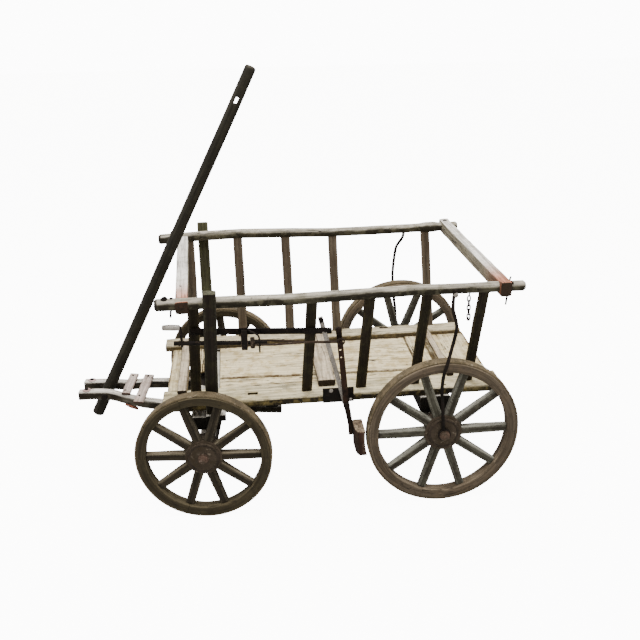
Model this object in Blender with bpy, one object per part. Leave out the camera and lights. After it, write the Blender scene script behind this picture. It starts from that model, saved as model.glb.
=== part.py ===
"""A weathered four-wheeled wooden handcart with ladder sides, a tow pole and a screw brake.

Metres, +X forward, +Y to the cart's left, +Z up. Inside this file x is measured from the rear
axle and z from the ground; the parent empty "cart" moves the whole to its middle.
"""
import bpy
import bmesh
import math
from mathutils import Vector

# Gaps and facets
GAP = 0.0003
FIT = 0.0006
TURN_STEPS = 24
RIM_STEPS = 48

# Wheels: radius, distance of the middle plane from the centre line, turn of the first spoke
WHEELBASE = 0.6907
REAR_RADIUS = 0.235
FRONT_RADIUS = 0.2043
REAR_TRACK = 0.3626
FRONT_TRACK = 0.3544
TYRE_WALL = 0.005
TYRE_WIDTH = 0.036
REAR_RIM_DEPTH = 0.0305
FRONT_RIM_DEPTH = 0.0280
RIM_WIDTH = 0.0383
SPOKES = 10
SPOKE_WIDTH = 0.025
SPOKE_AXIAL = 0.026
REAR_NAVE_RADIUS = 0.0575
FRONT_NAVE_RADIUS = 0.055
NAVE_FACE_RADIUS = 0.046
NAVE_TAIL_RADIUS = 0.039
NAVE_OUT = 0.022
NAVE_IN = 0.062
NAVE_NECK = 0.030
NAVE_BULGE_IN = 0.018
NAVE_BULGE_OUT = 0.014
NAVE_BORE = 0.0106

# Axles
AXLE_RADIUS = 0.0100
COLLAR_RADIUS = 0.019
COLLAR_WIDTH = 0.005
NUT_RADIUS = 0.016
NUT_WIDTH = 0.010
AXLE_TIP = 0.003
EYE_SLACK = 0.0020
STAY_EYE_WIDTH = 0.008
REAR_BEAM_HALF = 0.2945
FRONT_BEAM_HALF = 0.2865
BEAM_WIDTH = 0.052
REAR_BEAM_BOTTOM = 0.200
REAR_BEAM_TOP = 0.2615
FRONT_BEAM_BOTTOM = 0.166
AXLE_EYE_RADIUS = 0.020
AXLE_EYE_HALF = 0.0085

# Bed: the sills rest on the raised ends of the bolsters, the floor in their sunk middles
SILL_TOP = 0.3395
SILL_THICK = 0.022
SILL_OUT = 0.286
SILL_WIDTH = 0.108
SILL_FRONT = WHEELBASE + 0.1608
SILL_REAR = -0.200
FLOOR_TOP = 0.3235
PLANK_THICK = 0.015
PLANK_GAP = 0.001
PLANK_FRONT = WHEELBASE - 0.0187
PLANK_REAR = 0.0205
JOINT_FRONT_Y = 0.080
JOINT_REAR_Y = 0.107
BOARD_TONGUE = 0.198
BOLSTER_BOTTOM = 0.2965
FRONT_BOLSTER_HALF = 0.324
FRONT_BOLSTER_WIDTH = 0.062
REAR_BOLSTER_REAR = -0.040
REAR_BOLSTER_FRONT = 0.055
KING_PIN_RADIUS = 0.0095
KING_PIN_DROP = 0.018

# Ladder sides: the left side has slipped back and the right side forward
RAIL_Y = 0.3367
RAIL_Z = 0.6822
RAIL_FRONT = WHEELBASE + 0.1570
RAIL_REAR = -0.2238
RAIL_FRONT_RADIUS = 0.018
RAIL_REAR_RADIUS = 0.0155
RAIL_STEPS = 16
SLIP_TOP = 0.0175
SLIP_FOOT = 0.009
LEAN_BACK = 0.0075
SLAT_FIRST = WHEELBASE + 0.0583
SLAT_LAST = -0.096
SLAT_COUNT = 6
SLAT_PITCH = (SLAT_FIRST - SLAT_LAST) / (SLAT_COUNT - 1)
SLAT_WIDTH = 0.033
SLAT_DEPTH = 0.014
SLAT_FOOT_Y = 0.238
SLAT_SINK = 0.015
SLAT_TENON = 0.008
RAIL_SLACK = 0.001
STAKE_X = WHEELBASE + 0.0103
STAKE_FOOT_Y = 0.2999
STAKE_WIDTH = 0.0385
STAKE_DEPTH = 0.0255
STAKE_TOP = 0.727
STAKE_SINK = 0.016

# Front carriage, in its own frame: x from the king pin
STEER_REST = 5.36
ARM_WIDTH = 0.031
ARM_HEIGHT = 0.030
ARM_TOP = 0.2502
ARM_TIP = 0.443
ARM_TIP_Y = 0.039
FRICTION_BAR_LOW = -0.215
FRICTION_BAR_HIGH = -0.175
FRICTION_BAR_HALF = 0.150
FRICTION_BAR_TOP = 0.303
CARRIAGE_BOLSTER_TOP = 0.294
CARRIAGE_BOLSTER_WIDTH = 0.090
PLATE_THICK = 0.008
WEAR_PLATE_RADIUS = 0.070
POLE_PIVOT_X = 0.3567
POLE_PIVOT_Z = 0.2575
POLE_PIN_RADIUS = 0.006
POLE_PIN_HEAD = 0.0105
POLE_PIN_HEAD_HEIGHT = 0.006
POLE_LEAN = 27.0
POLE_UP = 1.164
POLE_TAIL = 0.095
POLE_FOOT_RADIUS = 0.0193
POLE_HEAD_RADIUS = 0.0172
POLE_STEPS = 16
SLOT_BELOW_HEAD = 0.110
SLOT_LENGTH = 0.024
SLOT_WIDTH = 0.009

# Brake, on the left side; its line falls a little towards the rear
BRAKE_SLOPE = 0.055
SPINDLE_Y = 0.3465
SPINDLE_AT_ORIGIN = 0.5247
SPINDLE_RADIUS = 0.007
SPINDLE_FRONT = WHEELBASE + 0.0943
SPINDLE_REAR = 0.520
CRANK_X = WHEELBASE + 0.0643
CRANK_THROW = 0.048
CRANK_HEEL = 0.011
CRANK_WIDTH = 0.016
CRANK_THICK = 0.009
GRIP_RADIUS = 0.009
GRIP_FRONT = WHEELBASE + 0.1263
GUIDE_FRONT = WHEELBASE + 0.0483
GUIDE_REAR = 0.329
GUIDE_AT_ORIGIN = 0.546
GUIDE_SLOPE = 0.0622
GUIDE_HEIGHT = 0.020
GUIDE_THICK = 0.008
GUIDE_STANDOFF = 0.0024
STIRRUP_X = 0.585
STIRRUP_WIDTH = 0.020
STIRRUP_WALL = 0.012
STIRRUP_DROP = 0.014
STIRRUP_RISE = 0.024
STIRRUP_LUG = 0.009
YOKE_FRONT = 0.569
YOKE_LENGTH = 0.014
YOKE_WALL = 0.009
NUT_CHEEK = 0.004
ROD_SIZE = 0.007
ROD_SPREAD = 0.016
ROD_BEND_X = 0.500
ROD_JOIN_X = 0.420
PIVOT_X = REAR_RADIUS + 0.0555
PIVOT_Z = 0.3285
LEVER_Y = 0.3300
LEVER_THICK = 0.006
LEVER_WIDTH = 0.018
LEVER_FOOT = 0.015
LEVER_EYE_X = PIVOT_X + 0.0155
LEVER_EYE_Z = 0.542
LEVER_KNEE_X = PIVOT_X + 0.0095
LEVER_KNEE_Z = 0.450
LEVER_TOP_X = PIVOT_X + 0.0205
LEVER_TOP_Z = 0.575
EYE_RADIUS = 0.012
EYE_BORE = 0.0075
EYE_PIN = 0.004
EYE_PIN_PAST = 0.008
EYE_PIN_STEPS = 12
EYE_THICK = 0.006
BLOCK_CLEARANCE = 0.0065
SHOE_STEPS = 6
BLOCK_TOP = REAR_RADIUS + 0.0275
BLOCK_BOTTOM = REAR_RADIUS - 0.0560
BLOCK_FRONT_TOP = REAR_RADIUS + 0.0365
BLOCK_FRONT_BOTTOM = REAR_RADIUS + 0.0330
BLOCK_GRIP = 0.036
BLOCK_INNER = 0.300
BLOCK_OUTER = 0.385
BLOCK_ROUNDING = ((0.012, 0.005), (0.004, 0.014))
BLOCK_CORNER = 0.030
BRACKET_THICK = 0.004
BRACKET_REAR = PIVOT_X - 0.0285
BRACKET_FRONT = PIVOT_X + 0.0670
BRACKET_LOW = 0.3170
BRACKET_HIGH = 0.3660
STUD_RADIUS = 0.006
STUD_COLLAR = 0.011
STUD_HEAD = 0.010
STUD_HEAD_HEIGHT = 0.006
STRAP_END = 0.010
STRAP_Y = 0.3125
STRAP_THICK = 0.004
STRAP_WIDTH = 0.0175
STRAP_TOP_X = PIVOT_X + 0.0725
STRAP_TOP_Z = 0.6130

# Stays
STAY_RADIUS = 0.0052
STAY_EYE_RADIUS = 0.0195

# Heights that follow from the layers
SILL_BOTTOM = SILL_TOP - SILL_THICK
FLOOR_BOTTOM = FLOOR_TOP - PLANK_THICK
PLANK_HALF = SILL_OUT - SILL_WIDTH - PLANK_GAP
BOLSTER_TOP = SILL_BOTTOM - GAP
RECESS_TOP = FLOOR_BOTTOM - GAP
FRONT_BEAM_TOP = ARM_TOP - ARM_HEIGHT - GAP
ARM_MIDDLE = ARM_TOP - ARM_HEIGHT / 2

# Where the whole cart's middle lies along x
STEER = math.radians(STEER_REST)
FRONT_REACH = WHEELBASE + ARM_TIP * math.cos(STEER) + (ARM_TIP_Y + ARM_WIDTH / 2) * math.sin(STEER)
REAR_REACH = RAIL_REAR - SLIP_TOP
X_MIDDLE = (FRONT_REACH + REAR_REACH) / 2

# Tables
# Slat left out on each side: the left one lost its second, the right one its fifth
SIDES = (("left", 1, 1), ("right", -1, 4))
# How far each wheel has turned, in degrees, to its first spoke
SPOKE_TURN = {"rear_left": -0.3, "rear_right": -3.5, "front_left": 0.0, "front_right": -13.4}
# Arm: x, y, height of the middle
ARM_LINE = (
    (ARM_TIP, ARM_TIP_Y, 0.2605),
    (0.345, ARM_TIP_Y, 0.2590),
    (0.300, 0.0480, 0.2505),
    (0.225, 0.0725, 0.2435),
    (0.130, 0.0858, ARM_MIDDLE),
    (0.050, 0.0970, ARM_MIDDLE),
    (-0.225, 0.1180, ARM_MIDDLE),
)
# Cross plate: name, x, width, right end, left end
PLATES = (("plate_front", 0.2855, 0.030, -0.093, 0.060), ("plate_rear", 0.2350, 0.033, -0.092, 0.117))
# Batten across the sills: name, rear x, front x, thickness, right end, left end
BATTENS = (
    ("batten_front", WHEELBASE + 0.0793, WHEELBASE + 0.1093, 0.0125, -0.210, 0.210),
    ("batten_middle", 0.309, 0.365, 0.0220, -0.210, 0.220),
    ("batten_rear", -0.072, -0.048, 0.0130, -0.200, 0.205),
)
# Crossboard between the rails: name, x in the middle, how far it is askew at its ends, width, half
# length, bottom and top; the front one is notched round the rails and the rear one is bored
CROSSBOARDS = (
    ("crossboard_front", WHEELBASE + 0.0768, 0.0136, 0.038, 0.3560, 0.6570, 0.6945),
    ("crossboard_rear", -0.1700, 0.0075, 0.035, 0.3650, 0.6590, 0.7040),
)
# Board across the floor: name, rear x, front x, right half length, left half length
BOARDS = (
    ("board_rear", -0.2020, -0.0460, -BOARD_TONGUE, BOARD_TONGUE),
    ("board_axle", -0.0450, 0.0195, -PLANK_HALF, PLANK_HALF),
    ("board_front", WHEELBASE + 0.0823, WHEELBASE + 0.1453, -BOARD_TONGUE, BOARD_TONGUE),
)
# Broken board: x of each corner ahead of the front axle and its y, from the right sill to the splinters
BROKEN_BOARD = (
    (0.0193, -PLANK_HALF),
    (0.0428, -PLANK_HALF),
    (0.0428, -BOARD_TONGUE),
    (0.0773, -BOARD_TONGUE),
    (0.0773, -0.012),
    (0.0653, 0.004),
    (0.0533, -0.003),
    (0.0423, 0.010),
    (0.0323, -0.006),
    (0.0193, -0.016),
)
# Rail wander: share of the length from the front, sideways and upward offset of each side
RAIL_WANDER = {
    "left": ((0.0, 0.0, 0.0), (0.18, 0.001, -0.001), (0.33, 0.002, -0.003), (0.48, 0.001, -0.001),
             (0.68, -0.002, 0.002), (0.85, 0.0, 0.001), (1.0, 0.0, 0.0)),
    "right": ((0.0, 0.0, 0.0), (0.13, 0.0, 0.005), (0.266, -0.001, 0.008), (0.42, 0.0, 0.003),
              (0.57, 0.001, -0.0035), (0.71, 0.001, -0.0035), (0.86, 0.0, -0.001), (1.0, 0.0, 0.0)),
}
# Stay: share of the way up from the axle to the rail, x, distance outside the wheel's middle plane
STAY_LINE = {
    "left": ((0.0385, 0.004, 0.0290), (0.2572, 0.009, 0.0300), (0.3265, 0.012, 0.0300),
             (0.4271, 0.009, 0.0300), (0.5344, -0.003, 0.0300), (0.6686, -0.020, 0.0222),
             (0.7513, -0.030, 0.0150), (0.8005, -0.029, 0.0107), (0.8788, -0.021, 0.0040),
             (0.9526, -0.022, -0.0024), (1.0130, -0.028, -0.0041)),
    "right": ((0.0385, 0.004, 0.0290), (0.2572, 0.009, 0.0300), (0.3265, 0.013, 0.0300),
              (0.4360, 0.017, 0.0300), (0.5411, 0.020, 0.0300), (0.6462, 0.019, 0.0235),
              (0.7580, 0.015, 0.0148), (0.8251, 0.010, 0.0088), (0.8676, -0.001, 0.0050),
              (0.9012, -0.010, 0.0021), (0.9593, -0.015, -0.0022), (1.0085, -0.017, -0.0039)),
}


def clear_scene():
    for item in list(bpy.data.objects):
        bpy.data.objects.remove(item, do_unlink=True)


def material(name, colour, roughness, metallic):
    made = bpy.data.materials.new(name)
    made.use_nodes = True
    shader = made.node_tree.nodes["Principled BSDF"]
    shader.inputs["Base Color"].default_value = (*colour, 1.0)
    shader.inputs["Roughness"].default_value = roughness
    shader.inputs["Metallic"].default_value = metallic
    return made


def empty(name, place, parent=None, turn=(0.0, 0.0, 0.0)):
    made = bpy.data.objects.new(name, None)
    bpy.context.collection.objects.link(made)
    made.location = place
    made.rotation_euler = turn
    made.parent = parent
    return made


def add(name, bm, finish, parent, place=(0.0, 0.0, 0.0), smooth=False):
    bmesh.ops.recalc_face_normals(bm, faces=bm.faces)
    mesh = bpy.data.meshes.new(name)
    bm.to_mesh(mesh)
    bm.free()
    made = bpy.data.objects.new(name, mesh)
    bpy.context.collection.objects.link(made)
    made.location = place
    made.parent = parent
    if finish:
        mesh.materials.append(finish)
    else:
        made.hide_render = True
        made.display_type = "WIRE"
    if smooth:
        mesh.shade_smooth()
        mesh.set_sharp_from_angle(angle=math.radians(35))
    return made


def boolean(target, tool, operation):
    modifier = target.modifiers.new(operation.lower() + "_" + tool.name, "BOOLEAN")
    modifier.operation = operation
    modifier.object = tool
    return target


def cut(target, tool):
    return boolean(target, tool, "DIFFERENCE")


def join(target, tool):
    return boolean(target, tool, "UNION")


def closed_loft(bm, rings):
    """Skin the rings of points in order and close both ends."""
    layers = [[bm.verts.new(point) for point in ring] for ring in rings]
    count = len(layers[0])
    for low, high in zip(layers, layers[1:]):
        for i in range(count):
            j = (i + 1) % count
            bm.faces.new((low[i], low[j], high[j], high[i]))
    bm.faces.new(list(reversed(layers[0])))
    bm.faces.new(layers[-1])


def box(name, low, high, finish, parent):
    bm = bmesh.new()
    plan = ((low[0], low[1]), (high[0], low[1]), (high[0], high[1]), (low[0], high[1]))
    rings = [[(x, y, z) for x, y in plan] for z in (low[2], high[2])]
    closed_loft(bm, rings)
    return add(name, bm, finish, parent)


def slab(name, outline, low, high, axis, finish, parent):
    """Extrude a flat outline from low to high along the axis; the outline gives the two other coordinates."""
    bm = bmesh.new()
    rings = []
    for level in (low, high):
        ring = []
        for a, b in outline:
            point = [a, b]
            point.insert(axis, level)
            ring.append(point)
        rings.append(ring)
    closed_loft(bm, rings)
    return add(name, bm, finish, parent)


def stick_ring(centre, along, width, depth):
    """Four corners round a stick; the width lies along x, or along y where the stick itself runs near x."""
    along = Vector(along).normalized()
    across = Vector((0, 1, 0)) if abs(along.x) > 0.8 else Vector((1, 0, 0))
    across = (across - along * across.dot(along)).normalized()
    deep = along.cross(across)
    return [Vector(centre) + across * (a * width / 2) + deep * (b * depth / 2)
            for a, b in ((-1, -1), (1, -1), (1, 1), (-1, 1))]


def stick(name, start, end, width, depth, finish, parent):
    along = Vector(end) - Vector(start)
    rings = [stick_ring(point, along, width, depth) for point in (start, end)]
    bm = bmesh.new()
    closed_loft(bm, rings)
    return add(name, bm, finish, parent)


def turned(name, profile, axis, finish, parent, place=(0.0, 0.0, 0.0), steps=TURN_STEPS):
    """Turn a profile of (distance along the axis, radius) about the axis; both ends are closed."""
    bm = bmesh.new()
    rings = []
    for distance, radius in profile:
        ring = []
        for i in range(steps):
            angle = 2 * math.pi * i / steps
            point = [radius * math.sin(angle), -radius * math.cos(angle)]
            point.insert(axis, distance)
            ring.append(point)
        rings.append(ring)
    closed_loft(bm, rings)
    return add(name, bm, finish, parent, place, smooth=True)


def rod(name, start, end, radius, axis, finish, parent, place=(0.0, 0.0, 0.0), steps=TURN_STEPS):
    return turned(name, ((start, radius), (end, radius)), axis, finish, parent, place, steps)


def tube(name, points, radius, finish, parent, sides=8):
    """A round bar along a line of points."""
    bm = bmesh.new()
    points = [Vector(point) for point in points]
    rings = []
    for i, point in enumerate(points):
        along = (points[min(i + 1, len(points) - 1)] - points[max(i - 1, 0)]).normalized()
        across = (Vector((1, 0, 0)) - along * along.x).normalized()
        deep = along.cross(across)
        rings.append([point + (across * math.cos(a) + deep * math.sin(a)) * radius
                      for a in (2 * math.pi * k / sides for k in range(sides))])
    closed_loft(bm, rings)
    return add(name, bm, finish, parent, smooth=True)


def hoop(name, inner, outer, half_width, place, finish, parent, steps=RIM_STEPS):
    """A flat hoop about y with a square section."""
    bm = bmesh.new()
    corners = ((outer, -half_width), (outer, half_width), (inner, half_width), (inner, -half_width))
    rings = []
    for i in range(steps):
        angle = 2 * math.pi * i / steps
        rings.append([bm.verts.new((r * math.sin(angle), y, -r * math.cos(angle))) for r, y in corners])
    for i in range(steps):
        here, there = rings[i], rings[(i + 1) % steps]
        for k in range(4):
            m = (k + 1) % 4
            bm.faces.new((here[k], here[m], there[m], there[k]))
    return add(name, bm, finish, parent, place, smooth=True)


def wheel(tag, size, side, parent, finishes):
    """A tyre, a wooden rim, and a nave with its spokes."""
    radius, track, rim_depth, nave_radius = size
    place = (0.0, side * track, radius)
    rim_outer = radius - TYRE_WALL - GAP
    rim_inner = rim_outer - rim_depth
    hoop("tyre_" + tag, radius - TYRE_WALL, radius, TYRE_WIDTH / 2, place, finishes["iron"], parent)
    hoop("rim_" + tag, rim_inner, rim_outer, RIM_WIDTH / 2, place, finishes["wheel"], parent)
    profile = ((-NAVE_IN, NAVE_TAIL_RADIUS), (-NAVE_NECK, NAVE_FACE_RADIUS),
               (-NAVE_BULGE_IN - 0.004, nave_radius - 0.004), (-NAVE_BULGE_IN, nave_radius),
               (NAVE_BULGE_OUT, nave_radius), (NAVE_BULGE_OUT + 0.002, NAVE_FACE_RADIUS + 0.001),
               (NAVE_OUT, NAVE_FACE_RADIUS))
    nave = turned("nave_" + tag, [(side * a, r) for a, r in profile], 1, finishes["wheel"], parent, place)
    reach = rim_inner * math.cos(math.pi / RIM_STEPS) - GAP
    tip = math.sqrt(reach ** 2 - (SPOKE_WIDTH / 2) ** 2)
    for i in range(SPOKES):
        angle = math.radians(SPOKE_TURN[tag] + 360.0 * i / SPOKES)
        out = Vector((-math.cos(angle), 0.0, math.sin(angle)))
        across = Vector((math.sin(angle), 0.0, math.cos(angle)))
        section = [across * (a * SPOKE_WIDTH / 2) + Vector((0, b * SPOKE_AXIAL / 2, 0))
                   for a, b in ((-1, -0.5), (-0.5, -1), (0.5, -1), (1, -0.5),
                                (1, 0.5), (0.5, 1), (-0.5, 1), (-1, 0.5))]
        rings = [[out * distance + corner for corner in section] for distance in (nave_radius * 0.6, tip)]
        bm = bmesh.new()
        closed_loft(bm, rings)
        join(nave, add("spoke_%s_%d" % (tag, i), bm, None, parent, place))
    cut(nave, rod("bore_" + tag, -0.2, 0.2, NAVE_BORE, 1, None, parent, place))


def axle(name, track, radius, past, parent, finish):
    """An iron axle with a collar inside each nave and a nut outside; past is what sits under the nut."""
    inner = track - NAVE_IN - GAP * 2 - COLLAR_WIDTH
    outer = track + NAVE_OUT + GAP * 2 + past
    half = [(inner, AXLE_RADIUS), (inner, COLLAR_RADIUS), (inner + COLLAR_WIDTH, COLLAR_RADIUS),
            (inner + COLLAR_WIDTH, AXLE_RADIUS), (outer, AXLE_RADIUS), (outer, NUT_RADIUS),
            (outer + NUT_WIDTH, NUT_RADIUS), (outer + NUT_WIDTH, AXLE_RADIUS * 0.7),
            (outer + NUT_WIDTH + AXLE_TIP, AXLE_RADIUS * 0.6)]
    profile = [(-y, r) for y, r in reversed(half)] + half
    return turned(name, profile, 1, finish, parent, (0.0, 0.0, radius))


def rail_rings(side_name, side, extra):
    """Rings along an upper rail, which wanders a little as a natural pole does."""
    rings = []
    for share, sideways, upward in RAIL_WANDER[side_name]:
        x = RAIL_FRONT + (RAIL_REAR - RAIL_FRONT) * share - side * SLIP_TOP
        radius = RAIL_FRONT_RADIUS + (RAIL_REAR_RADIUS - RAIL_FRONT_RADIUS) * share + extra
        y, z = side * (RAIL_Y + sideways), RAIL_Z + upward
        rings.append([(x, y + radius * math.sin(a), z + radius * math.cos(a))
                      for a in (2 * math.pi * i / RAIL_STEPS for i in range(RAIL_STEPS))])
    return rings


def rail(name, side_name, side, finish, parent, extra=0.0):
    bm = bmesh.new()
    closed_loft(bm, rail_rings(side_name, side, extra))
    return add(name, bm, finish, parent, smooth=True)


def rail_middle(side_name, side, x):
    """Centre of the upper rail at a place along the cart."""
    share = (RAIL_FRONT - side * SLIP_TOP - x) / (RAIL_FRONT - RAIL_REAR)
    table = RAIL_WANDER[side_name]
    for (s0, y0, z0), (s1, y1, z1) in zip(table, table[1:]):
        if s0 <= share <= s1:
            t = (share - s0) / (s1 - s0)
            return Vector((x, side * (RAIL_Y + y0 + t * (y1 - y0)), RAIL_Z + z0 + t * (z1 - z0)))
    return Vector((x, side * RAIL_Y, RAIL_Z))


def ladder_side(name, side, missing, parent, finishes):
    """A sill, an upper rail and the slats between them, mortised at both ends; returns the sill."""
    wood = finishes["frame"]
    inner, outer = sorted((side * (SILL_OUT - SILL_WIDTH), side * SILL_OUT))
    slip = -side * SLIP_FOOT
    sill = box("sill_" + name, (SILL_REAR + slip, inner, SILL_BOTTOM), (SILL_FRONT + slip, outer, SILL_TOP),
               finishes["bed"], parent)
    upper = rail("rail_" + name, name, side, wood, parent)
    for i in range(SLAT_COUNT):
        foot_x = SLAT_FIRST - i * SLAT_PITCH - side * SLIP_FOOT
        top_x = SLAT_FIRST - i * SLAT_PITCH - side * SLIP_TOP - LEAN_BACK
        foot = Vector((foot_x, side * SLAT_FOOT_Y, SILL_TOP))
        head = rail_middle(name, side, top_x)
        along = (head - foot).normalized()
        start = foot - along * SLAT_SINK
        end = head - along * (RAIL_REAR_RADIUS - SLAT_TENON)
        tag = "%s_%d" % (name, i + 1)
        if i != missing:
            stick("slat_" + tag, start, end, SLAT_WIDTH, SLAT_DEPTH, wood, parent)
        wide, deep = SLAT_WIDTH + 2 * FIT, SLAT_DEPTH + 2 * FIT
        cut(sill, stick("foot_mortise_" + tag, start - along * FIT, foot + along * SLAT_WIDTH, wide, deep,
                        None, parent))
        cut(upper, stick("head_mortise_" + tag, head - along * (RAIL_FRONT_RADIUS + SLAT_WIDTH),
                         end + along * FIT, wide, deep, None, parent))
    return sill


def stake(name, side, parent, finish, bolster):
    """A stake in the end of the front bolster, standing outside the rail and up past it."""
    top_x = STAKE_X - side * SLIP_TOP - LEAN_BACK
    beside = rail_middle(name, side, top_x)
    beside.y += side * (RAIL_FRONT_RADIUS + STAKE_DEPTH / 2 + RAIL_SLACK)
    foot = Vector((STAKE_X - side * SLIP_FOOT, side * STAKE_FOOT_Y, BOLSTER_TOP))
    along = (beside - foot).normalized()
    top = foot + along * ((STAKE_TOP - foot.z) / along.z)
    start = foot - along * STAKE_SINK
    cut(bolster, stick("stake_mortise_" + name, start - along * FIT, foot + along * STAKE_WIDTH,
                       STAKE_WIDTH + 2 * FIT, STAKE_DEPTH + 2 * FIT, None, parent))
    return stick("stake_" + name, start, top, STAKE_WIDTH, STAKE_DEPTH, finish, parent)


def crossboard(name, x, skew, width, half, bottom, top, parent, finish):
    """A board across both rails, notched or bored for them near its ends."""
    level = (bottom + top) / 2
    made = stick(name, (x + skew, -half, level), (x - skew, half, level), width, top - bottom, finish, parent)
    for side_name, side, _ in SIDES:
        cut(made, rail("eye_%s_%s" % (name, side_name), side_name, side, None, parent, RAIL_SLACK))
        if x > 0:
            cut(made, bpy.data.objects["head_mortise_%s_1" % side_name])
    return made


def floor(parent, finishes, sills):
    """Two long planks whose joint runs a little askew, the boards across, and the battens on the sills."""
    wood = finishes["bed"]
    left = ((PLANK_FRONT, JOINT_FRONT_Y + PLANK_GAP), (PLANK_REAR, JOINT_REAR_Y + PLANK_GAP))
    right = ((PLANK_FRONT, JOINT_FRONT_Y - PLANK_GAP), (PLANK_REAR, JOINT_REAR_Y - PLANK_GAP))
    slab("plank_left", (left[1], left[0], (PLANK_FRONT, PLANK_HALF), (PLANK_REAR, PLANK_HALF)),
         FLOOR_BOTTOM, FLOOR_TOP, 2, wood, parent)
    slab("plank_right", ((PLANK_REAR, -PLANK_HALF), (PLANK_FRONT, -PLANK_HALF), right[0], right[1]),
         FLOOR_BOTTOM, FLOOR_TOP, 2, wood, parent)
    broken = [(WHEELBASE + x, y) for x, y in BROKEN_BOARD]
    slab("board_broken", broken, FLOOR_BOTTOM, FLOOR_TOP, 2, wood, parent)
    notches = [("broken", broken[2][0], broken[3][0], -BOARD_TONGUE, 0.0)]
    for name, rear, front, low, high in BOARDS:
        box(name, (rear, low, FLOOR_BOTTOM), (front, high, FLOOR_TOP), wood, parent)
        if high == BOARD_TONGUE:
            notches.append((name, rear, front, low, high))
    for name, rear, front, low, high in notches:
        notch = box("notch_" + name, (rear - GAP, low - GAP, FLOOR_BOTTOM - 0.01),
                    (front + GAP, high + GAP, FLOOR_TOP + GAP), None, parent)
        for sill in sills:
            cut(sill, notch)
    for name, rear, front, thick, low, high in BATTENS:
        box(name, (rear, low, SILL_TOP + GAP), (front, high, SILL_TOP + GAP + thick), wood, parent)


def under_bed(parent, finishes):
    """Front bolster with its king pin, the stakes, and the rear axle timber with its bolster."""
    wood = finishes["frame"]
    outline = [(WHEELBASE - side * SLIP_FOOT + a * FRONT_BOLSTER_WIDTH / 2, side * FRONT_BOLSTER_HALF)
               for side, a in ((-1, -1), (-1, 1), (1, 1), (1, -1))]
    bolster = slab("front_bolster", outline, BOLSTER_BOTTOM, BOLSTER_TOP, 2, wood, parent)
    join(bolster, rod("king_pin", FRONT_BEAM_BOTTOM - KING_PIN_DROP, RECESS_TOP - 0.003, KING_PIN_RADIUS, 2,
                      None, parent, (WHEELBASE, 0.0, 0.0)))
    recess = box("floor_recess", (REAR_REACH, -PLANK_HALF - GAP * 2, RECESS_TOP),
                 (FRONT_REACH, PLANK_HALF + GAP * 2, SILL_TOP), None, parent)
    cut(bolster, recess)
    for name, side, _ in SIDES:
        stake(name, side, parent, wood, bolster)
    half = BEAM_WIDTH / 2
    rear_beam = box("rear_axle_beam", (-half, -REAR_BEAM_HALF, REAR_BEAM_BOTTOM),
                    (half, REAR_BEAM_HALF, REAR_BEAM_TOP), wood, parent)
    join(rear_beam, box("rear_bolster", (REAR_BOLSTER_REAR, -REAR_BEAM_HALF + 0.0005, REAR_BEAM_TOP - 0.001),
                        (REAR_BOLSTER_FRONT, REAR_BEAM_HALF - 0.0005, BOLSTER_TOP), None, parent))
    cut(rear_beam, recess)
    cut(rear_beam, rod("rear_beam_bore", -1.0, 1.0, AXLE_RADIUS + FIT, 1, None, parent,
                       (0.0, 0.0, REAR_RADIUS)))


def stay(name, side, parent, finish):
    """A bent iron from an eye on the end of the rear axle up to the outside of the rail."""
    inner = REAR_TRACK + NAVE_OUT + GAP * 2 + EYE_SLACK
    place = (0.0, 0.0, REAR_RADIUS)
    line = [(x, side * (REAR_TRACK + out), REAR_RADIUS + share * (RAIL_Z - REAR_RADIUS))
            for share, x, out in STAY_LINE[name]]
    eye = rod("stay_" + name, side * inner, side * (inner + STAY_EYE_WIDTH), STAY_EYE_RADIUS, 1, finish,
              parent, place)
    join(eye, tube("stay_bar_" + name, line, STAY_RADIUS, None, parent))
    cut(eye, rod("stay_bore_" + name, -1.0, 1.0, AXLE_RADIUS + FIT, 1, None, parent, place))
    return eye


def arm_top(x):
    for (x1, _, z1), (x0, _, z0) in zip(ARM_LINE, ARM_LINE[1:]):
        if x0 <= x <= x1:
            return z0 + (z1 - z0) * (x - x0) / (x1 - x0) + ARM_HEIGHT / 2
    return ARM_TOP


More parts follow.
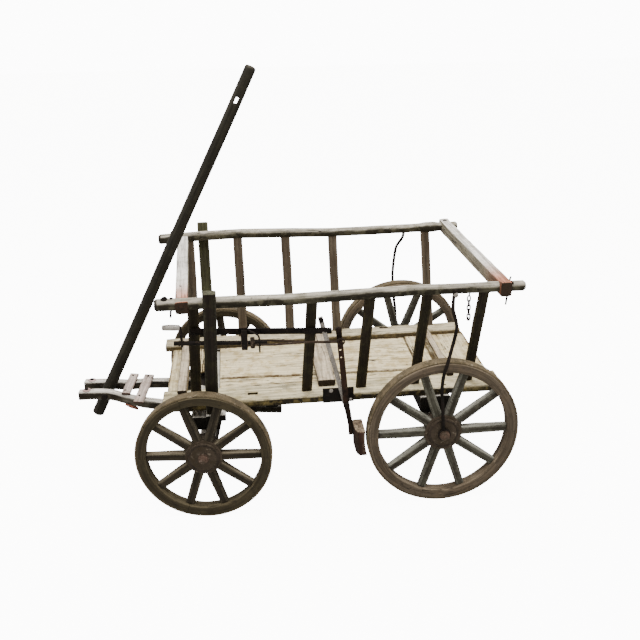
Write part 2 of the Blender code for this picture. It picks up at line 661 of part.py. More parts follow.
def carriage(parent, finishes):
    """Axle beam, the pair of arms, their bolster, the friction bar, the cross plates and the pole's pin."""
    wood, iron = finishes["frame"], finishes["iron"]
    half = BEAM_WIDTH / 2
    beam = box("front_axle_beam", (-half, -FRONT_BEAM_HALF, FRONT_BEAM_BOTTOM),
               (half, FRONT_BEAM_HALF, FRONT_BEAM_TOP), wood, parent)
    cut(beam, rod("front_beam_bore", -1.0, 1.0, AXLE_RADIUS + FIT, 1, None, parent, (0.0, 0.0, FRONT_RADIUS)))
    cut(beam, rod("axle_eye_pocket", FRONT_RADIUS - AXLE_EYE_HALF - FIT, FRONT_RADIUS + AXLE_EYE_HALF + FIT,
                  AXLE_EYE_RADIUS + FIT, 2, None, parent))
    pin_hole = rod("pin_hole", 0.0, 1.0, KING_PIN_RADIUS + FIT, 2, None, parent)
    cut(beam, pin_hole)
    iron_axle = axle("front_axle", FRONT_TRACK, FRONT_RADIUS, 0.0, parent, iron)
    join(iron_axle, rod("axle_eye", FRONT_RADIUS - AXLE_EYE_HALF, FRONT_RADIUS + AXLE_EYE_HALF,
                        AXLE_EYE_RADIUS, 2, None, parent))
    cut(iron_axle, pin_hole)
    wide = CARRIAGE_BOLSTER_WIDTH / 2
    bolster = box("carriage_bolster", (-wide, -FRONT_BEAM_HALF, ARM_TOP + GAP),
                  (wide, FRONT_BEAM_HALF, CARRIAGE_BOLSTER_TOP), wood, parent)
    join(bolster, rod("wear_plate", CARRIAGE_BOLSTER_TOP - 0.002, BOLSTER_BOTTOM - GAP, WEAR_PLATE_RADIUS, 2,
                      None, parent))
    cut(bolster, pin_hole)
    for name, side, _ in SIDES:
        rings = []
        for x, y, z in ARM_LINE:
            rings.append([(x, side * (y - ARM_WIDTH / 2), z - ARM_HEIGHT / 2),
                          (x, side * (y + ARM_WIDTH / 2), z - ARM_HEIGHT / 2),
                          (x, side * (y + ARM_WIDTH / 2), z + ARM_HEIGHT / 2),
                          (x, side * (y - ARM_WIDTH / 2), z + ARM_HEIGHT / 2)])
        bm = bmesh.new()
        closed_loft(bm, rings)
        arm = add("arm_" + name, bm, wood, parent)
        cut(arm, rod("arm_bore_" + name, -1.0, 1.0, POLE_PIN_RADIUS + FIT, 1, None, parent,
                     (POLE_PIVOT_X, 0.0, POLE_PIVOT_Z)))
    box("friction_bar", (FRICTION_BAR_LOW, -FRICTION_BAR_HALF, ARM_TOP + GAP),
        (FRICTION_BAR_HIGH, FRICTION_BAR_HALF, FRICTION_BAR_TOP), wood, parent)
    for name, x, width, low, high in PLATES:
        front, rear = x + width / 2, x - width / 2
        ends = [(x, arm_top(x) + GAP * 2) for x in (rear, front)]
        outline = ends + [(x, z + PLATE_THICK) for x, z in reversed(ends)]
        slab(name, outline, low, high, 1, wood, parent)
    face = ARM_LINE[0][1] + ARM_WIDTH / 2 + GAP * 2
    end = face + POLE_PIN_HEAD_HEIGHT
    turned("pole_pin", ((-end, POLE_PIN_HEAD), (-face, POLE_PIN_HEAD), (-face, POLE_PIN_RADIUS),
                        (face, POLE_PIN_RADIUS), (face, POLE_PIN_HEAD), (end, POLE_PIN_HEAD)),
           1, iron, parent, (POLE_PIVOT_X, 0.0, POLE_PIVOT_Z))


def tow_pole(parent, finish):
    """The pole in its own frame: z runs up along the pole from its pivot."""
    profile = ((-POLE_TAIL, POLE_FOOT_RADIUS), (0.0, POLE_FOOT_RADIUS), (POLE_UP - 0.006, POLE_HEAD_RADIUS),
               (POLE_UP, POLE_HEAD_RADIUS - 0.004))
    pole = turned("tow_pole", profile, 2, finish, parent, steps=POLE_STEPS)
    cut(pole, rod("pole_bore", -0.1, 0.1, POLE_PIN_RADIUS + FIT, 1, None, parent))
    middle = POLE_UP - SLOT_BELOW_HEAD
    cut(pole, box("pole_slot", (-SLOT_WIDTH / 2, -0.1, middle - SLOT_LENGTH / 2),
                  (SLOT_WIDTH / 2, 0.1, middle + SLOT_LENGTH / 2), None, parent))
    return pole


def slat_face(z):
    """How far the slats' outer faces lie from the centre line at a height."""
    lean = (RAIL_Y - SLAT_FOOT_Y) / (RAIL_Z - SILL_TOP)
    return SLAT_FOOT_Y + lean * (z - SILL_TOP) + SLAT_DEPTH / 2 * math.sqrt(1 + lean * lean)


def spindle_height(x):
    return SPINDLE_AT_ORIGIN + BRAKE_SLOPE * x


def along_spindle(name, rear, front, radius, finish, parent):
    """A round bar along the sloping line of the spindle."""
    start = Vector((rear, SPINDLE_Y, spindle_height(rear)))
    end = Vector((front, SPINDLE_Y, spindle_height(front)))
    along = (end - start).normalized()
    up = Vector((-along.z, 0.0, along.x))
    side = Vector((0.0, 1.0, 0.0))
    rings = [[centre + (side * math.cos(a) + up * math.sin(a)) * radius
              for a in (2 * math.pi * i / TURN_STEPS for i in range(TURN_STEPS))] for centre in (start, end)]
    bm = bmesh.new()
    closed_loft(bm, rings)
    return add(name, bm, finish, parent, smooth=True)


def guide_height(x):
    return GUIDE_AT_ORIGIN + GUIDE_SLOPE * x


def brake_guide(parent, finishes):
    """A flat bar on the slats' outer faces with a stirrup round the spindle and a strap down to the stud."""
    rings = []
    for x in (GUIDE_REAR, GUIDE_FRONT):
        low = guide_height(x) - GUIDE_HEIGHT / 2
        high = low + GUIDE_HEIGHT
        rings.append([(x, slat_face(z) + GUIDE_STANDOFF + out, z)
                      for z, out in ((low, 0.0), (high, 0.0), (high, GUIDE_THICK), (low, GUIDE_THICK))])
    bm = bmesh.new()
    closed_loft(bm, rings)
    bar = add("brake_guide", bm, finishes["iron"], parent)
    level = spindle_height(STIRRUP_X)
    rear, front = STIRRUP_X - STIRRUP_WIDTH / 2, STIRRUP_X + STIRRUP_WIDTH / 2
    join(bar, box("stirrup", (rear, SPINDLE_Y - STIRRUP_WALL, level - STIRRUP_DROP),
                  (front, SPINDLE_Y + STIRRUP_WALL, level + STIRRUP_RISE), None, parent))
    lug = level + STIRRUP_RISE - STIRRUP_LUG
    join(bar, box("stirrup_lug", (rear, slat_face(lug) + 0.005, lug),
                  (front, SPINDLE_Y, level + STIRRUP_RISE - 0.0005), None, parent))
    beside = slat_face(guide_height(STRAP_TOP_X)) + GUIDE_THICK + STRAP_THICK / 2 - 0.002
    strap_low = Vector((PIVOT_X, STRAP_Y + STRAP_THICK / 2, PIVOT_Z - STRAP_END))
    strap_high = Vector((STRAP_TOP_X, beside, STRAP_TOP_Z))
    join(bar, stick("strap", strap_low, strap_high, STRAP_WIDTH, STRAP_THICK, None, parent))
    cut(bar, rod("strap_bore", 0.0, 1.0, STUD_RADIUS + FIT, 1, None, parent, (PIVOT_X, 0.0, PIVOT_Z)))
    cut(bar, along_spindle("guide_bore", STIRRUP_X - 0.2, STIRRUP_X + 0.2, SPINDLE_RADIUS + FIT, None,
                           parent))


def brake_bracket(parent, finish):
    """A plate on the left sill with the stud that the lever turns on."""
    inner = SILL_OUT + GAP
    plate = box("brake_bracket", (BRACKET_REAR, inner, BRACKET_LOW),
                (BRACKET_FRONT, inner + BRACKET_THICK, BRACKET_HIGH), finish, parent)
    collar = STRAP_Y - GAP * 2
    outer = LEVER_Y + LEVER_THICK + GAP * 2
    profile = ((inner + 0.001, STUD_COLLAR), (collar, STUD_COLLAR), (collar, STUD_RADIUS),
               (outer, STUD_RADIUS), (outer, STUD_HEAD), (outer + STUD_HEAD_HEIGHT, STUD_HEAD))
    join(plate, turned("brake_stud", profile, 1, None, parent, (PIVOT_X, 0.0, PIVOT_Z)))


def brake_lever(parent, finishes):
    """The lever in its pivot's frame, with the pin at its eye, and the wooden block on its lower arm."""
    def local(x, z):
        return Vector((x - PIVOT_X, 0.0, z - PIVOT_Z))
    half = LEVER_WIDTH / 2
    p1, p2 = local(BLOCK_FRONT_TOP, BLOCK_TOP), local(BLOCK_FRONT_BOTTOM, BLOCK_BOTTOM)
    down = (p2 - p1).normalized()
    ahead = Vector((-down.z, 0.0, down.x))
    rear_edge = p1 + ahead * GAP
    front_edge = p1 + ahead * (GAP + LEVER_FOOT)
    length = BLOCK_GRIP
    line = (local(LEVER_TOP_X, LEVER_TOP_Z), local(LEVER_KNEE_X, LEVER_KNEE_Z), local(PIVOT_X, PIVOT_Z))
    left = [point + Vector((half, 0.0, 0.0)) for point in line]
    right = [point - Vector((half, 0.0, 0.0)) for point in reversed(line)]
    outline = left + [front_edge, front_edge + down * length, rear_edge + down * length, rear_edge] + right
    lever = slab("brake_lever", [(p.x, p.z) for p in outline], LEVER_Y, LEVER_Y + LEVER_THICK, 1,
                 finishes["iron"], parent)
    cut(lever, rod("lever_bore", 0.0, 1.0, STUD_RADIUS + FIT, 1, None, parent))
    eye = local(LEVER_EYE_X, LEVER_EYE_Z)
    join(lever, rod("eye_pin", LEVER_Y + 0.002, SPINDLE_Y + EYE_PIN_PAST, EYE_PIN, 1, None, parent,
                    tuple(eye), EYE_PIN_STEPS))
    shoe_radius = REAR_RADIUS + BLOCK_CLEARANCE
    outline = [(p1.x, p1.z), (p2.x, p2.z)]
    low = math.asin((BLOCK_BOTTOM - REAR_RADIUS) / shoe_radius)
    high = math.asin((BLOCK_TOP - REAR_RADIUS) / shoe_radius)
    for i in range(SHOE_STEPS + 1):
        angle = low + (high - low) * i / SHOE_STEPS
        point = local(shoe_radius * math.cos(angle), REAR_RADIUS + shoe_radius * math.sin(angle))
        outline.append((point.x, point.z))
    block = slab("brake_block", outline, BLOCK_INNER, BLOCK_OUTER, 1, finishes["block"], parent)
    front = p1.x + 0.001
    back = BLOCK_FRONT_TOP - REAR_RADIUS - PIVOT_X
    (deep, near), (shallow, far) = BLOCK_ROUNDING
    inner, outer = BLOCK_INNER - 0.01, BLOCK_OUTER + 0.01
    plan = ((back, inner), (front - shallow, inner), (front - shallow, BLOCK_INNER),
            (front, BLOCK_INNER + near), (front, BLOCK_OUTER - BLOCK_CORNER),
            (front - shallow, BLOCK_OUTER - far), (front - deep, BLOCK_OUTER), (front - deep, outer),
            (back, outer))
    boolean(block, slab("block_plan", plan, -PIVOT_Z, 0.0, 2, None, parent), "INTERSECT")


def brake_spindle(parent, finish):
    """Spindle in its own frame, x along it, with its crank and grip."""
    slant = math.sqrt(1 + BRAKE_SLOPE ** 2)
    rear, front, grip_end = [(x - CRANK_X) * slant for x in (SPINDLE_REAR, SPINDLE_FRONT, GRIP_FRONT)]
    spindle = turned("brake_spindle", ((rear, SPINDLE_RADIUS), (front, SPINDLE_RADIUS)), 0, finish, parent)
    join(spindle, stick("crank_arm", (0.006, 0.0, -CRANK_HEEL), (0.012, 0.0, CRANK_THROW + 0.004),
                        CRANK_WIDTH, CRANK_THICK, None, parent))
    join(spindle, rod("crank_grip", 0.008, grip_end, GRIP_RADIUS, 0, None, parent, (0.0, 0.0, CRANK_THROW)))
    return spindle


def on_spindle(x, aside=0.0, up=0.0):
    """A point beside the spindle's line."""
    return Vector((x, SPINDLE_Y + aside, spindle_height(x) + up))


def brake_yoke(parent, finish):
    """The nut on the spindle and its forked rod, which ends in an eye round the lever's pin."""
    half = ROD_SPREAD + NUT_CHEEK
    low = on_spindle(YOKE_FRONT, -half, -YOKE_WALL - 0.0025)
    high = on_spindle(YOKE_FRONT, half, YOKE_WALL + 0.0015)
    low.x -= YOKE_LENGTH
    nut = box("brake_yoke", low, high, finish, parent)
    fork_end = on_spindle(ROD_JOIN_X)
    thin, thick = ROD_SIZE * 0.98, ROD_SIZE * 1.05
    for i, aside in enumerate((-ROD_SPREAD, ROD_SPREAD)):
        start = on_spindle(YOKE_FRONT - 0.004, aside)
        bend = on_spindle(ROD_BEND_X, aside)
        past = bend - Vector((0.003, 0.0, 0.0))
        tip = fork_end + Vector((0.0, math.copysign(0.001, aside), 0.0))
        join(nut, stick("fork_a_%d" % i, start, past, ROD_SIZE, ROD_SIZE, None, parent))
        join(nut, stick("fork_b_%d" % i, bend, tip, thin, thin, None, parent))
    eye = Vector((LEVER_EYE_X, SPINDLE_Y, LEVER_EYE_Z))
    join(nut, stick("rod_tail", fork_end + Vector((0.008, 0.0, 0.0)),
                    eye + Vector((EYE_RADIUS - 0.002, 0.0, 0.0)), thick, thick, None, parent))
    place = (eye.x, 0.0, eye.z)
    half = EYE_THICK / 2
    join(nut, rod("rod_eye", SPINDLE_Y - half, SPINDLE_Y + half, EYE_RADIUS, 1, None, parent, place))
    cut(nut, rod("rod_eye_bore", 0.0, 1.0, EYE_BORE, 1, None, parent, place))
    cut(nut, along_spindle("nut_bore", SPINDLE_REAR - 0.015, SPINDLE_FRONT, SPINDLE_RADIUS + FIT, None,
                           parent))
    return nut


def main():
    clear_scene()
    finishes = {
        "bed": material("bed_boards", (0.62, 0.56, 0.44), 0.9, 0.0),
        "frame": material("frame_wood", (0.20, 0.17, 0.11), 0.85, 0.0),
        "wheel": material("wheel_wood", (0.24, 0.20, 0.14), 0.85, 0.0),
        "iron": material("old_iron", (0.07, 0.06, 0.055), 0.7, 0.6),
        "block": material("brake_block_wood", (0.25, 0.14, 0.10), 0.9, 0.0),
    }
    cart = empty("cart", (-X_MIDDLE, 0.0, 0.0))
    steered = empty("carriage", (WHEELBASE, 0.0, 0.0), cart, (0.0, 0.0, -STEER))
    rear = (REAR_RADIUS, REAR_TRACK, REAR_RIM_DEPTH, REAR_NAVE_RADIUS)
    front = (FRONT_RADIUS, FRONT_TRACK, FRONT_RIM_DEPTH, FRONT_NAVE_RADIUS)

    sills = []
    for name, side, missing in SIDES:
        sills.append(ladder_side(name, side, missing, cart, finishes))
        stay(name, side, cart, finishes["iron"])
        wheel("rear_" + name, rear, side, cart, finishes)
        wheel("front_" + name, front, side, steered, finishes)
    floor(cart, finishes, sills)
    under_bed(cart, finishes)
    for row in CROSSBOARDS:
        crossboard(*row, cart, finishes["bed"])
    axle("rear_axle", REAR_TRACK, REAR_RADIUS, EYE_SLACK + STAY_EYE_WIDTH + GAP * 2, cart, finishes["iron"])

    carriage(steered, finishes)
    pivot = empty("pole_pivot", (POLE_PIVOT_X, 0.0, POLE_PIVOT_Z), steered,
                  (0.0, -math.radians(POLE_LEAN), 0.0))
    tow_pole(pivot, finishes["frame"])

    brake_guide(cart, finishes)
    brake_bracket(cart, finishes["iron"])
    lever_pivot = empty("lever_pivot", (PIVOT_X, 0.0, PIVOT_Z), cart)
    brake_lever(lever_pivot, finishes)
    crank = empty("crank", on_spindle(CRANK_X), cart, (0.0, -math.atan(BRAKE_SLOPE), 0.0))
    brake_spindle(crank, finishes["iron"])
    brake_yoke(cart, finishes["iron"])
    cut(bpy.data.objects["stake_left"],
        along_spindle("stake_bore", STAKE_X - 0.1, STAKE_X + 0.1, SPINDLE_RADIUS + FIT, None, cart))


main()
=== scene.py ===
"""Looks of a weathered wooden handcart: grey boards, dark timbers and rusty iron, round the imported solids."""
import math

import bmesh
import bpy
import numpy as np
from mathutils import Matrix, Vector


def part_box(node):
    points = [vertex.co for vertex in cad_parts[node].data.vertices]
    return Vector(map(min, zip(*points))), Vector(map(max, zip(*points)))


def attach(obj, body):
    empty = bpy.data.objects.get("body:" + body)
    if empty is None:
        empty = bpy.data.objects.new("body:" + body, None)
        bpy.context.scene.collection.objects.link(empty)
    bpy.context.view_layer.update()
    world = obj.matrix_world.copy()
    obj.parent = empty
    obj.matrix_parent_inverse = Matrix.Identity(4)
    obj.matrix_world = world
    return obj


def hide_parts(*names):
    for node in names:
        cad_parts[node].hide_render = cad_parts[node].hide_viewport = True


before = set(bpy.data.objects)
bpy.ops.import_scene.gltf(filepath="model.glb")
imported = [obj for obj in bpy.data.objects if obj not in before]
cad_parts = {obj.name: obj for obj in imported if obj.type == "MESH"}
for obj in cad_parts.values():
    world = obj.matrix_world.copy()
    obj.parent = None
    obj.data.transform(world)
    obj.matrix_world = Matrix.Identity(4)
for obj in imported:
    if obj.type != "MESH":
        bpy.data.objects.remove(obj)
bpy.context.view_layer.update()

# Places that the frame gives
REAR_X = (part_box("rear_axle")[0].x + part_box("rear_axle")[1].x) / 2
KING_X = (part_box("front_axle_beam")[0].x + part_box("front_axle_beam")[1].x) / 2
REAR_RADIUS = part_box("tyre_rear_left")[1].z / 2
FRONT_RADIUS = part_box("tyre_front_left")[1].z / 2
SILL_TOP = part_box("sill_left")[1].z
FLOOR_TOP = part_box("plank_left")[1].z
STEER = math.radians(5.36)
SIDES = (("left", 1), ("right", -1))

# Places measured from the rear axle, as in the part's source
REAR_TRACK = 0.3626
FRONT_TRACK = 0.3544
RAIL_Y = 0.3367
RAIL_Z = 0.6822
PIVOT = (0.2905, 0.3285)
SPINDLE_Y = 0.3465
CRANK_X = 0.755
SPINDLE_SLOPE = 0.055
HANGER_X = 0.585
ROD_EYE = (0.306, 0.542)
POLE_PIN = (0.3567, 0.0, 0.2575)
POLE_LEAN = math.radians(27.0)
SLAT_LEAN = 0.2873
BOLSTER_TOP = 0.3082
BOLSTER_HALF = 0.1776
FAR_SILL_OUT = -0.25
SPOKE_TURN = {"rear_left": -0.3, "rear_right": -3.5, "front_left": 0.0, "front_right": -13.4}
ARM_LINE = ((0.443, 0.039, 0.2605), (0.345, 0.039, 0.259), (0.3, 0.048, 0.2505), (0.225, 0.0725, 0.2435),
            (0.13, 0.0858, 0.2352), (0.05, 0.097, 0.2352), (-0.225, 0.118, 0.2352))
STAY_LINE = {
    "left": ((0.0385, 0.004, 0.029), (0.2572, 0.009, 0.03), (0.3265, 0.012, 0.03), (0.4271, 0.009, 0.03),
             (0.5344, -0.003, 0.03), (0.6686, -0.02, 0.0222), (0.7513, -0.03, 0.015),
             (0.8005, -0.029, 0.0107), (0.8788, -0.021, 0.004), (0.9526, -0.022, -0.0024),
             (1.013, -0.028, -0.0041)),
    "right": ((0.0385, 0.004, 0.029), (0.2572, 0.009, 0.03), (0.3265, 0.013, 0.03), (0.436, 0.017, 0.03),
              (0.5411, 0.02, 0.03), (0.6462, 0.019, 0.0235), (0.758, 0.015, 0.0148), (0.8251, 0.01, 0.0088),
              (0.8676, -0.001, 0.005), (0.9012, -0.01, 0.0021), (0.9593, -0.015, -0.0022),
              (1.0085, -0.017, -0.0039)),
}

# Fineness of the surfaces
ROW_STEP = 0.006
RIM_STEPS = 180
NAVE_STEPS = 72
SPOKES = 10
SHARP = math.radians(50)

# Studio: the white that the camera sees is brighter than the light it gives
FLOOR_GLOW = 11.0
SKY_LIGHT = 0.95
SKY_SEEN = 12.0

# Camera of the photograph, solved from the wheels, axles, sills and rails; x from the rear axle
CAMERA_PLACE = (0.5805, 2.6673, 1.5338)
CAMERA_RIGHT = (-0.9924, 0.1221, -0.0136)
CAMERA_UP = (-0.0561, -0.3514, 0.9346)
CAMERA_AHEAD = (-0.1093, -0.9282, -0.3555)
CAMERA_LENS = 48.987
CAMERA_SHIFT = (-0.03142, -0.01765)


def from_axle(x, y, z):
    """A place measured from the rear axle, moved to the frame."""
    return np.array((x + REAR_X, y, z))


def on_carriage(x, y, z):
    """A place in the front carriage's own frame, turned with it and moved to the king pin."""
    return np.array((KING_X + x * math.cos(STEER) + y * math.sin(STEER),
                     -x * math.sin(STEER) + y * math.cos(STEER), z))


def carried(x, y, z):
    """A direction in the front carriage's own frame, turned with it."""
    return on_carriage(x, y, z) - on_carriage(0, 0, 0)


# Noise
def lattice(points, seed):
    """Random value for each whole-number place: a hash of its three numbers."""
    p = points.astype(np.int64)
    h = (p[..., 0] * 73856093) ^ (p[..., 1] * 19349663) ^ (p[..., 2] * 83492791) ^ (seed * 2654435761)
    h = (h ^ (h >> 13)) * 1274126177
    h = h & 0x7FFFFFFF
    return ((h ^ (h >> 16)) & 0xFFFF) / 32767.5 - 1.0


def noise(points, seed=0):
    """Smooth noise from -1 to 1: lattice values blended by 3t^2-2t^3 in each direction."""
    base = np.floor(points)
    t = points - base
    t = t * t * (3 - 2 * t)
    total = np.zeros(points.shape[:-1])
    for corner in range(8):
        offset = np.array((corner & 1, corner >> 1 & 1, corner >> 2 & 1))
        weight = np.prod(np.where(offset, t, 1 - t), axis=-1)
        total = total + weight * lattice(base + offset, seed)
    return total


# Meshes
class Shape:
    """Collects closed surfaces, with their grain coordinates and how near each point is to a worn edge."""

    def __init__(self):
        self.points = []
        self.faces = []
        self.grain = []
        self.edge = []
        self.count = 0

    def grid(self, rows, grain, edge, ring=False):
        """Skin rows of points, each closed on itself; a ring joins last to first, else poles close it."""
        n, m = rows.shape[:2]
        index = self.count + np.arange(n * m).reshape(n, m)
        if ring:
            low, high = index, np.roll(index, -1, axis=0)
        else:
            low, high = index[:-1], index[1:]
        quads = np.stack([low, np.roll(low, -1, axis=1), np.roll(high, -1, axis=1), high],
                         axis=-1).reshape(-1, 4)
        self.faces += quads.tolist()
        self.points.append(rows.reshape(-1, 3))
        self.grain.append(grain.reshape(-1, 3))
        self.edge.append(np.broadcast_to(edge, (n, m)).reshape(-1))
        self.count += n * m
        last = len(self.edge) - 1
        if not ring:
            for row, flip in ((0, True), (n - 1, False)):
                self.points.append(rows[row].mean(axis=0)[None])
                self.grain.append(grain[row].mean(axis=0)[None])
                self.edge.append(self.edge[last].reshape(n, m)[row].mean(keepdims=True))
                around = index[row]
                beside = np.roll(around, -1)
                pole = np.full(m, self.count)
                fan = np.stack([pole, beside, around] if flip else [pole, around, beside], axis=-1)
                self.faces += fan.tolist()
                self.count += 1
        return self

    def build(self, name, finish, body, node=None):
        """The finished piece: its mesh and attributes, its finish, its body and the node that it replaces."""
        mesh = bpy.data.meshes.new(name)
        mesh.from_pydata(np.concatenate(self.points).tolist(), [], self.faces)
        mesh.update()
        for label, kind, values in (("grain", "FLOAT_VECTOR", np.concatenate(self.grain)),
                                    ("edge", "FLOAT", np.concatenate(self.edge))):
            layer = mesh.attributes.new(label, kind, "POINT")
            key = "vector" if kind == "FLOAT_VECTOR" else "value"
            layer.data.foreach_set(key, values.astype(np.float32).ravel())
        made = placed(name, mesh)
        outward(mesh)
        mesh.materials.append(FINISH[finish])
        mesh.shade_smooth()
        mesh.set_sharp_from_angle(angle=SHARP)
        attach(made, body)
        if node:
            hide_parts(node)
        return made


def unit(vectors):
    """The same directions at length one."""
    return vectors / np.maximum(np.linalg.norm(vectors, axis=-1, keepdims=True), 1e-9)


def placed(name, data):
    """An object at the origin, in the scene."""
    made = bpy.data.objects.new(name, data)
    bpy.context.scene.collection.objects.link(made)
    return made


def outward(mesh):
    """Point every face outwards."""
    bm = bmesh.new()
    bm.from_mesh(mesh)
    bmesh.ops.recalc_face_normals(bm, faces=bm.faces)
    bm.to_mesh(mesh)
    bm.free()


def rounded_section(corner, flats=5, arcs=4):
    """Points of a unit square with round corners, as (a, b, nearness to a corner).

    Each quarter is an arc with the two radii in corner, then a straight run to the next in so many flats.
    """
    ra, rb = corner
    out = []
    for quarter in range(4):
        turn = quarter * math.pi / 2
        ca, cb = (1 - ra, 1 - rb)
        centre = ((ca, cb), (-ca, cb), (-ca, -cb), (ca, -cb))[quarter]
        for i in range(arcs + 1):
            a = turn + i / arcs * math.pi / 2
            out.append((centre[0] + ra * math.cos(a), centre[1] + rb * math.sin(a), 1.0))
        following = ((-ca, 1), (-1, -cb), (ca, -1), (1, cb))[quarter]
        here = out[-1][:2]
        for i in range(1, flats):
            t = i / flats
            out.append((here[0] + (following[0] - here[0]) * t, here[1] + (following[1] - here[1]) * t,
                        abs(2 * t - 1) ** 3 * 0.5))
    return np.array(out)


def timber(shape, path, wide, deep, radius=0.003, wear=0.0007, seed=0, step=ROW_STEP, flats=5):
    """A beam: a round-cornered rectangle carried along a path, with two half vectors at each point.

    The surface is pushed in and out by noise that is long with the grain and short across it, the corners
    more than the flats, and both ends are eased over a couple of millimetres.
    """
    path, wide, deep = (np.asarray(v, float) for v in (path, wide, deep))
    gaps = np.linalg.norm(np.diff(path, axis=0), axis=1)
    along = np.concatenate([[0], np.cumsum(gaps)])
    total = along[-1]
    ease = np.array((0.0, 0.0004, 0.0012, 0.0025))
    inner = np.linspace(0.005, total - 0.005, max(3, int(total / step)))
    rows = np.concatenate([ease, inner, total - ease[::-1]])
    rim = radius * 0.7
    half_wide = np.linalg.norm(wide, axis=1).mean()
    half_deep = np.linalg.norm(deep, axis=1).mean()
    inset = np.array((rim, rim * 0.55, rim * 0.2, 0.0))
    place = np.stack([np.interp(rows, along, path[:, k]) for k in range(3)], axis=-1)
    a = np.stack([np.interp(rows, along, wide[:, k]) for k in range(3)], axis=-1)
    b = np.stack([np.interp(rows, along, deep[:, k]) for k in range(3)], axis=-1)
    cut_wide, cut_deep = np.ones(len(rows)), np.ones(len(rows))
    cut_wide[:4] -= inset / half_wide
    cut_wide[-4:] -= inset[::-1] / half_wide
    cut_deep[:4] -= inset / half_deep
    cut_deep[-4:] -= inset[::-1] / half_deep
    section = rounded_section((min(0.98, radius / half_wide), min(0.98, radius / half_deep)), flats)
    sa, sb, near = section.T
    surface = (place[:, None] + a[:, None] * (sa[None, :, None] * cut_wide[:, None, None]) + b[:, None]
               * (sb[None, :, None] * cut_deep[:, None, None]))
    u = np.broadcast_to(rows[:, None], surface.shape[:2])
    v = np.broadcast_to(sa[None] * half_wide, surface.shape[:2])
    w = np.broadcast_to(sb[None] * half_deep, surface.shape[:2])
    grain = np.stack([u + seed * 1.37, v + seed * 0.73, w + seed * 0.41], axis=-1)
    push = noise(grain * (14, 160, 160), seed) * 0.6 + noise(grain * (30, 60, 60), seed + 7) * 0.5 - 0.9
    push = push * wear * (0.35 + near[None])
    middle = place[:, None]
    surface = surface + unit(surface - middle) * push[..., None]
    edge = np.broadcast_to(near[None], surface.shape[:2]).copy()
    edge[:3] = -1.0
    edge[-3:] = -1.0
    return shape.grid(surface, grain, edge)


def turned(shape, profile, centre, axis, steps=NAVE_STEPS, wear=0.0, seed=0, facets=None, ring=False):
    """A body of revolution, from pole to pole or as a ring: radius over the distance along the axis."""
    axis = unit(np.asarray(axis, float))
    side = np.cross(axis, (0, 0, 1.0))
    if np.linalg.norm(side) < 0.1:
        side = np.cross(axis, (1.0, 0, 0))
    side = unit(side)
    up = np.cross(side, axis)
    profile = np.asarray(profile, float)
    angle = np.linspace(0, 2 * np.pi, steps, endpoint=False)
    radius = np.broadcast_to(profile[:, 1][:, None], (len(profile), steps)).copy()
    if facets:
        wave = math.cos(math.pi / facets) / np.cos((angle + math.pi / facets) % (2 * math.pi / facets)
                                                   - math.pi / facets)
        radius = radius * wave
    turn = side * np.cos(angle)[:, None] + up * np.sin(angle)[:, None]
    along = profile[:, 0][:, None]
    grain = round_grain(along, angle, radius) + seed * 0.37
    radius = radius + wear * noise(grain * 120, seed)
    rows = np.asarray(centre) + axis * along[..., None] + turn[None] * radius[..., None]
    return shape.grid(rows, grain, 0.0, ring)


def round_grain(along, angle, radius):
    """Grain coordinates of a round section: along its axis, and across it from the axis."""
    return np.stack(np.broadcast_arrays(along, np.cos(angle)[None] * radius, np.sin(angle)[None] * radius),
                    axis=-1)


def smooth_path(points, step):
    """A curve through the points: each span is the cubic whose slopes come from the neighbours."""
    points = np.asarray(points, float)
    before = np.vstack([2 * points[0] - points[1], points[:-1]])
    after = np.vstack([points[1:], 2 * points[-1] - points[-2]])
    slope = (after - before) / 2
    out = []
    for i in range(len(points) - 1):
        count = max(2, int(np.linalg.norm(points[i + 1] - points[i]) / step))
        t = np.linspace(0, 1, count, endpoint=False)[:, None]
        out.append(points[i] * (2 * t ** 3 - 3 * t ** 2 + 1) + slope[i] * (t ** 3 - 2 * t ** 2 + t)
                   + points[i + 1] * (3 * t ** 2 - 2 * t ** 3) + slope[i + 1] * (t ** 3 - t ** 2))
    out.append(points[-1][None])
    return np.vstack(out)


def bar(shape, points, radius, sides=12, step=0.004, seed=0, wear=0.0002, curved=True, ring=False):
    """A round bar carried along a path; the section's first side keeps to the axis it runs along least."""
    path = smooth_path(points, step) if curved else np.asarray(points, float)
    if ring:
        tangent = np.roll(path, -1, axis=0) - np.roll(path, 1, axis=0)
    else:
        tangent = np.gradient(path, axis=0)
    tangent = unit(tangent)
    start = np.eye(3)[np.abs(tangent).max(axis=0).argmin()]
    across = unit(start - tangent * (tangent @ start)[:, None])
    deep = np.cross(tangent, across)
    angle = np.linspace(0, 2 * np.pi, sides, endpoint=False)
    along = np.concatenate([[0], np.cumsum(np.linalg.norm(np.diff(path, axis=0), axis=1))])
    radius = np.interp(np.linspace(0, 1, len(path)), np.linspace(0, 1, np.size(radius)),
                       np.atleast_1d(radius))
    rows = (path[:, None] + across[:, None] * np.cos(angle)[None, :, None] * radius[:, None, None]
            + deep[:, None] * np.sin(angle)[None, :, None] * radius[:, None, None])
    grain = round_grain(along[:, None] + seed, angle, radius[:, None])
    rows = rows + unit(rows - path[:, None]) * (noise(grain * (70, 200, 200), seed) * wear)[..., None]
    return shape.grid(rows, grain, 0.0, ring)


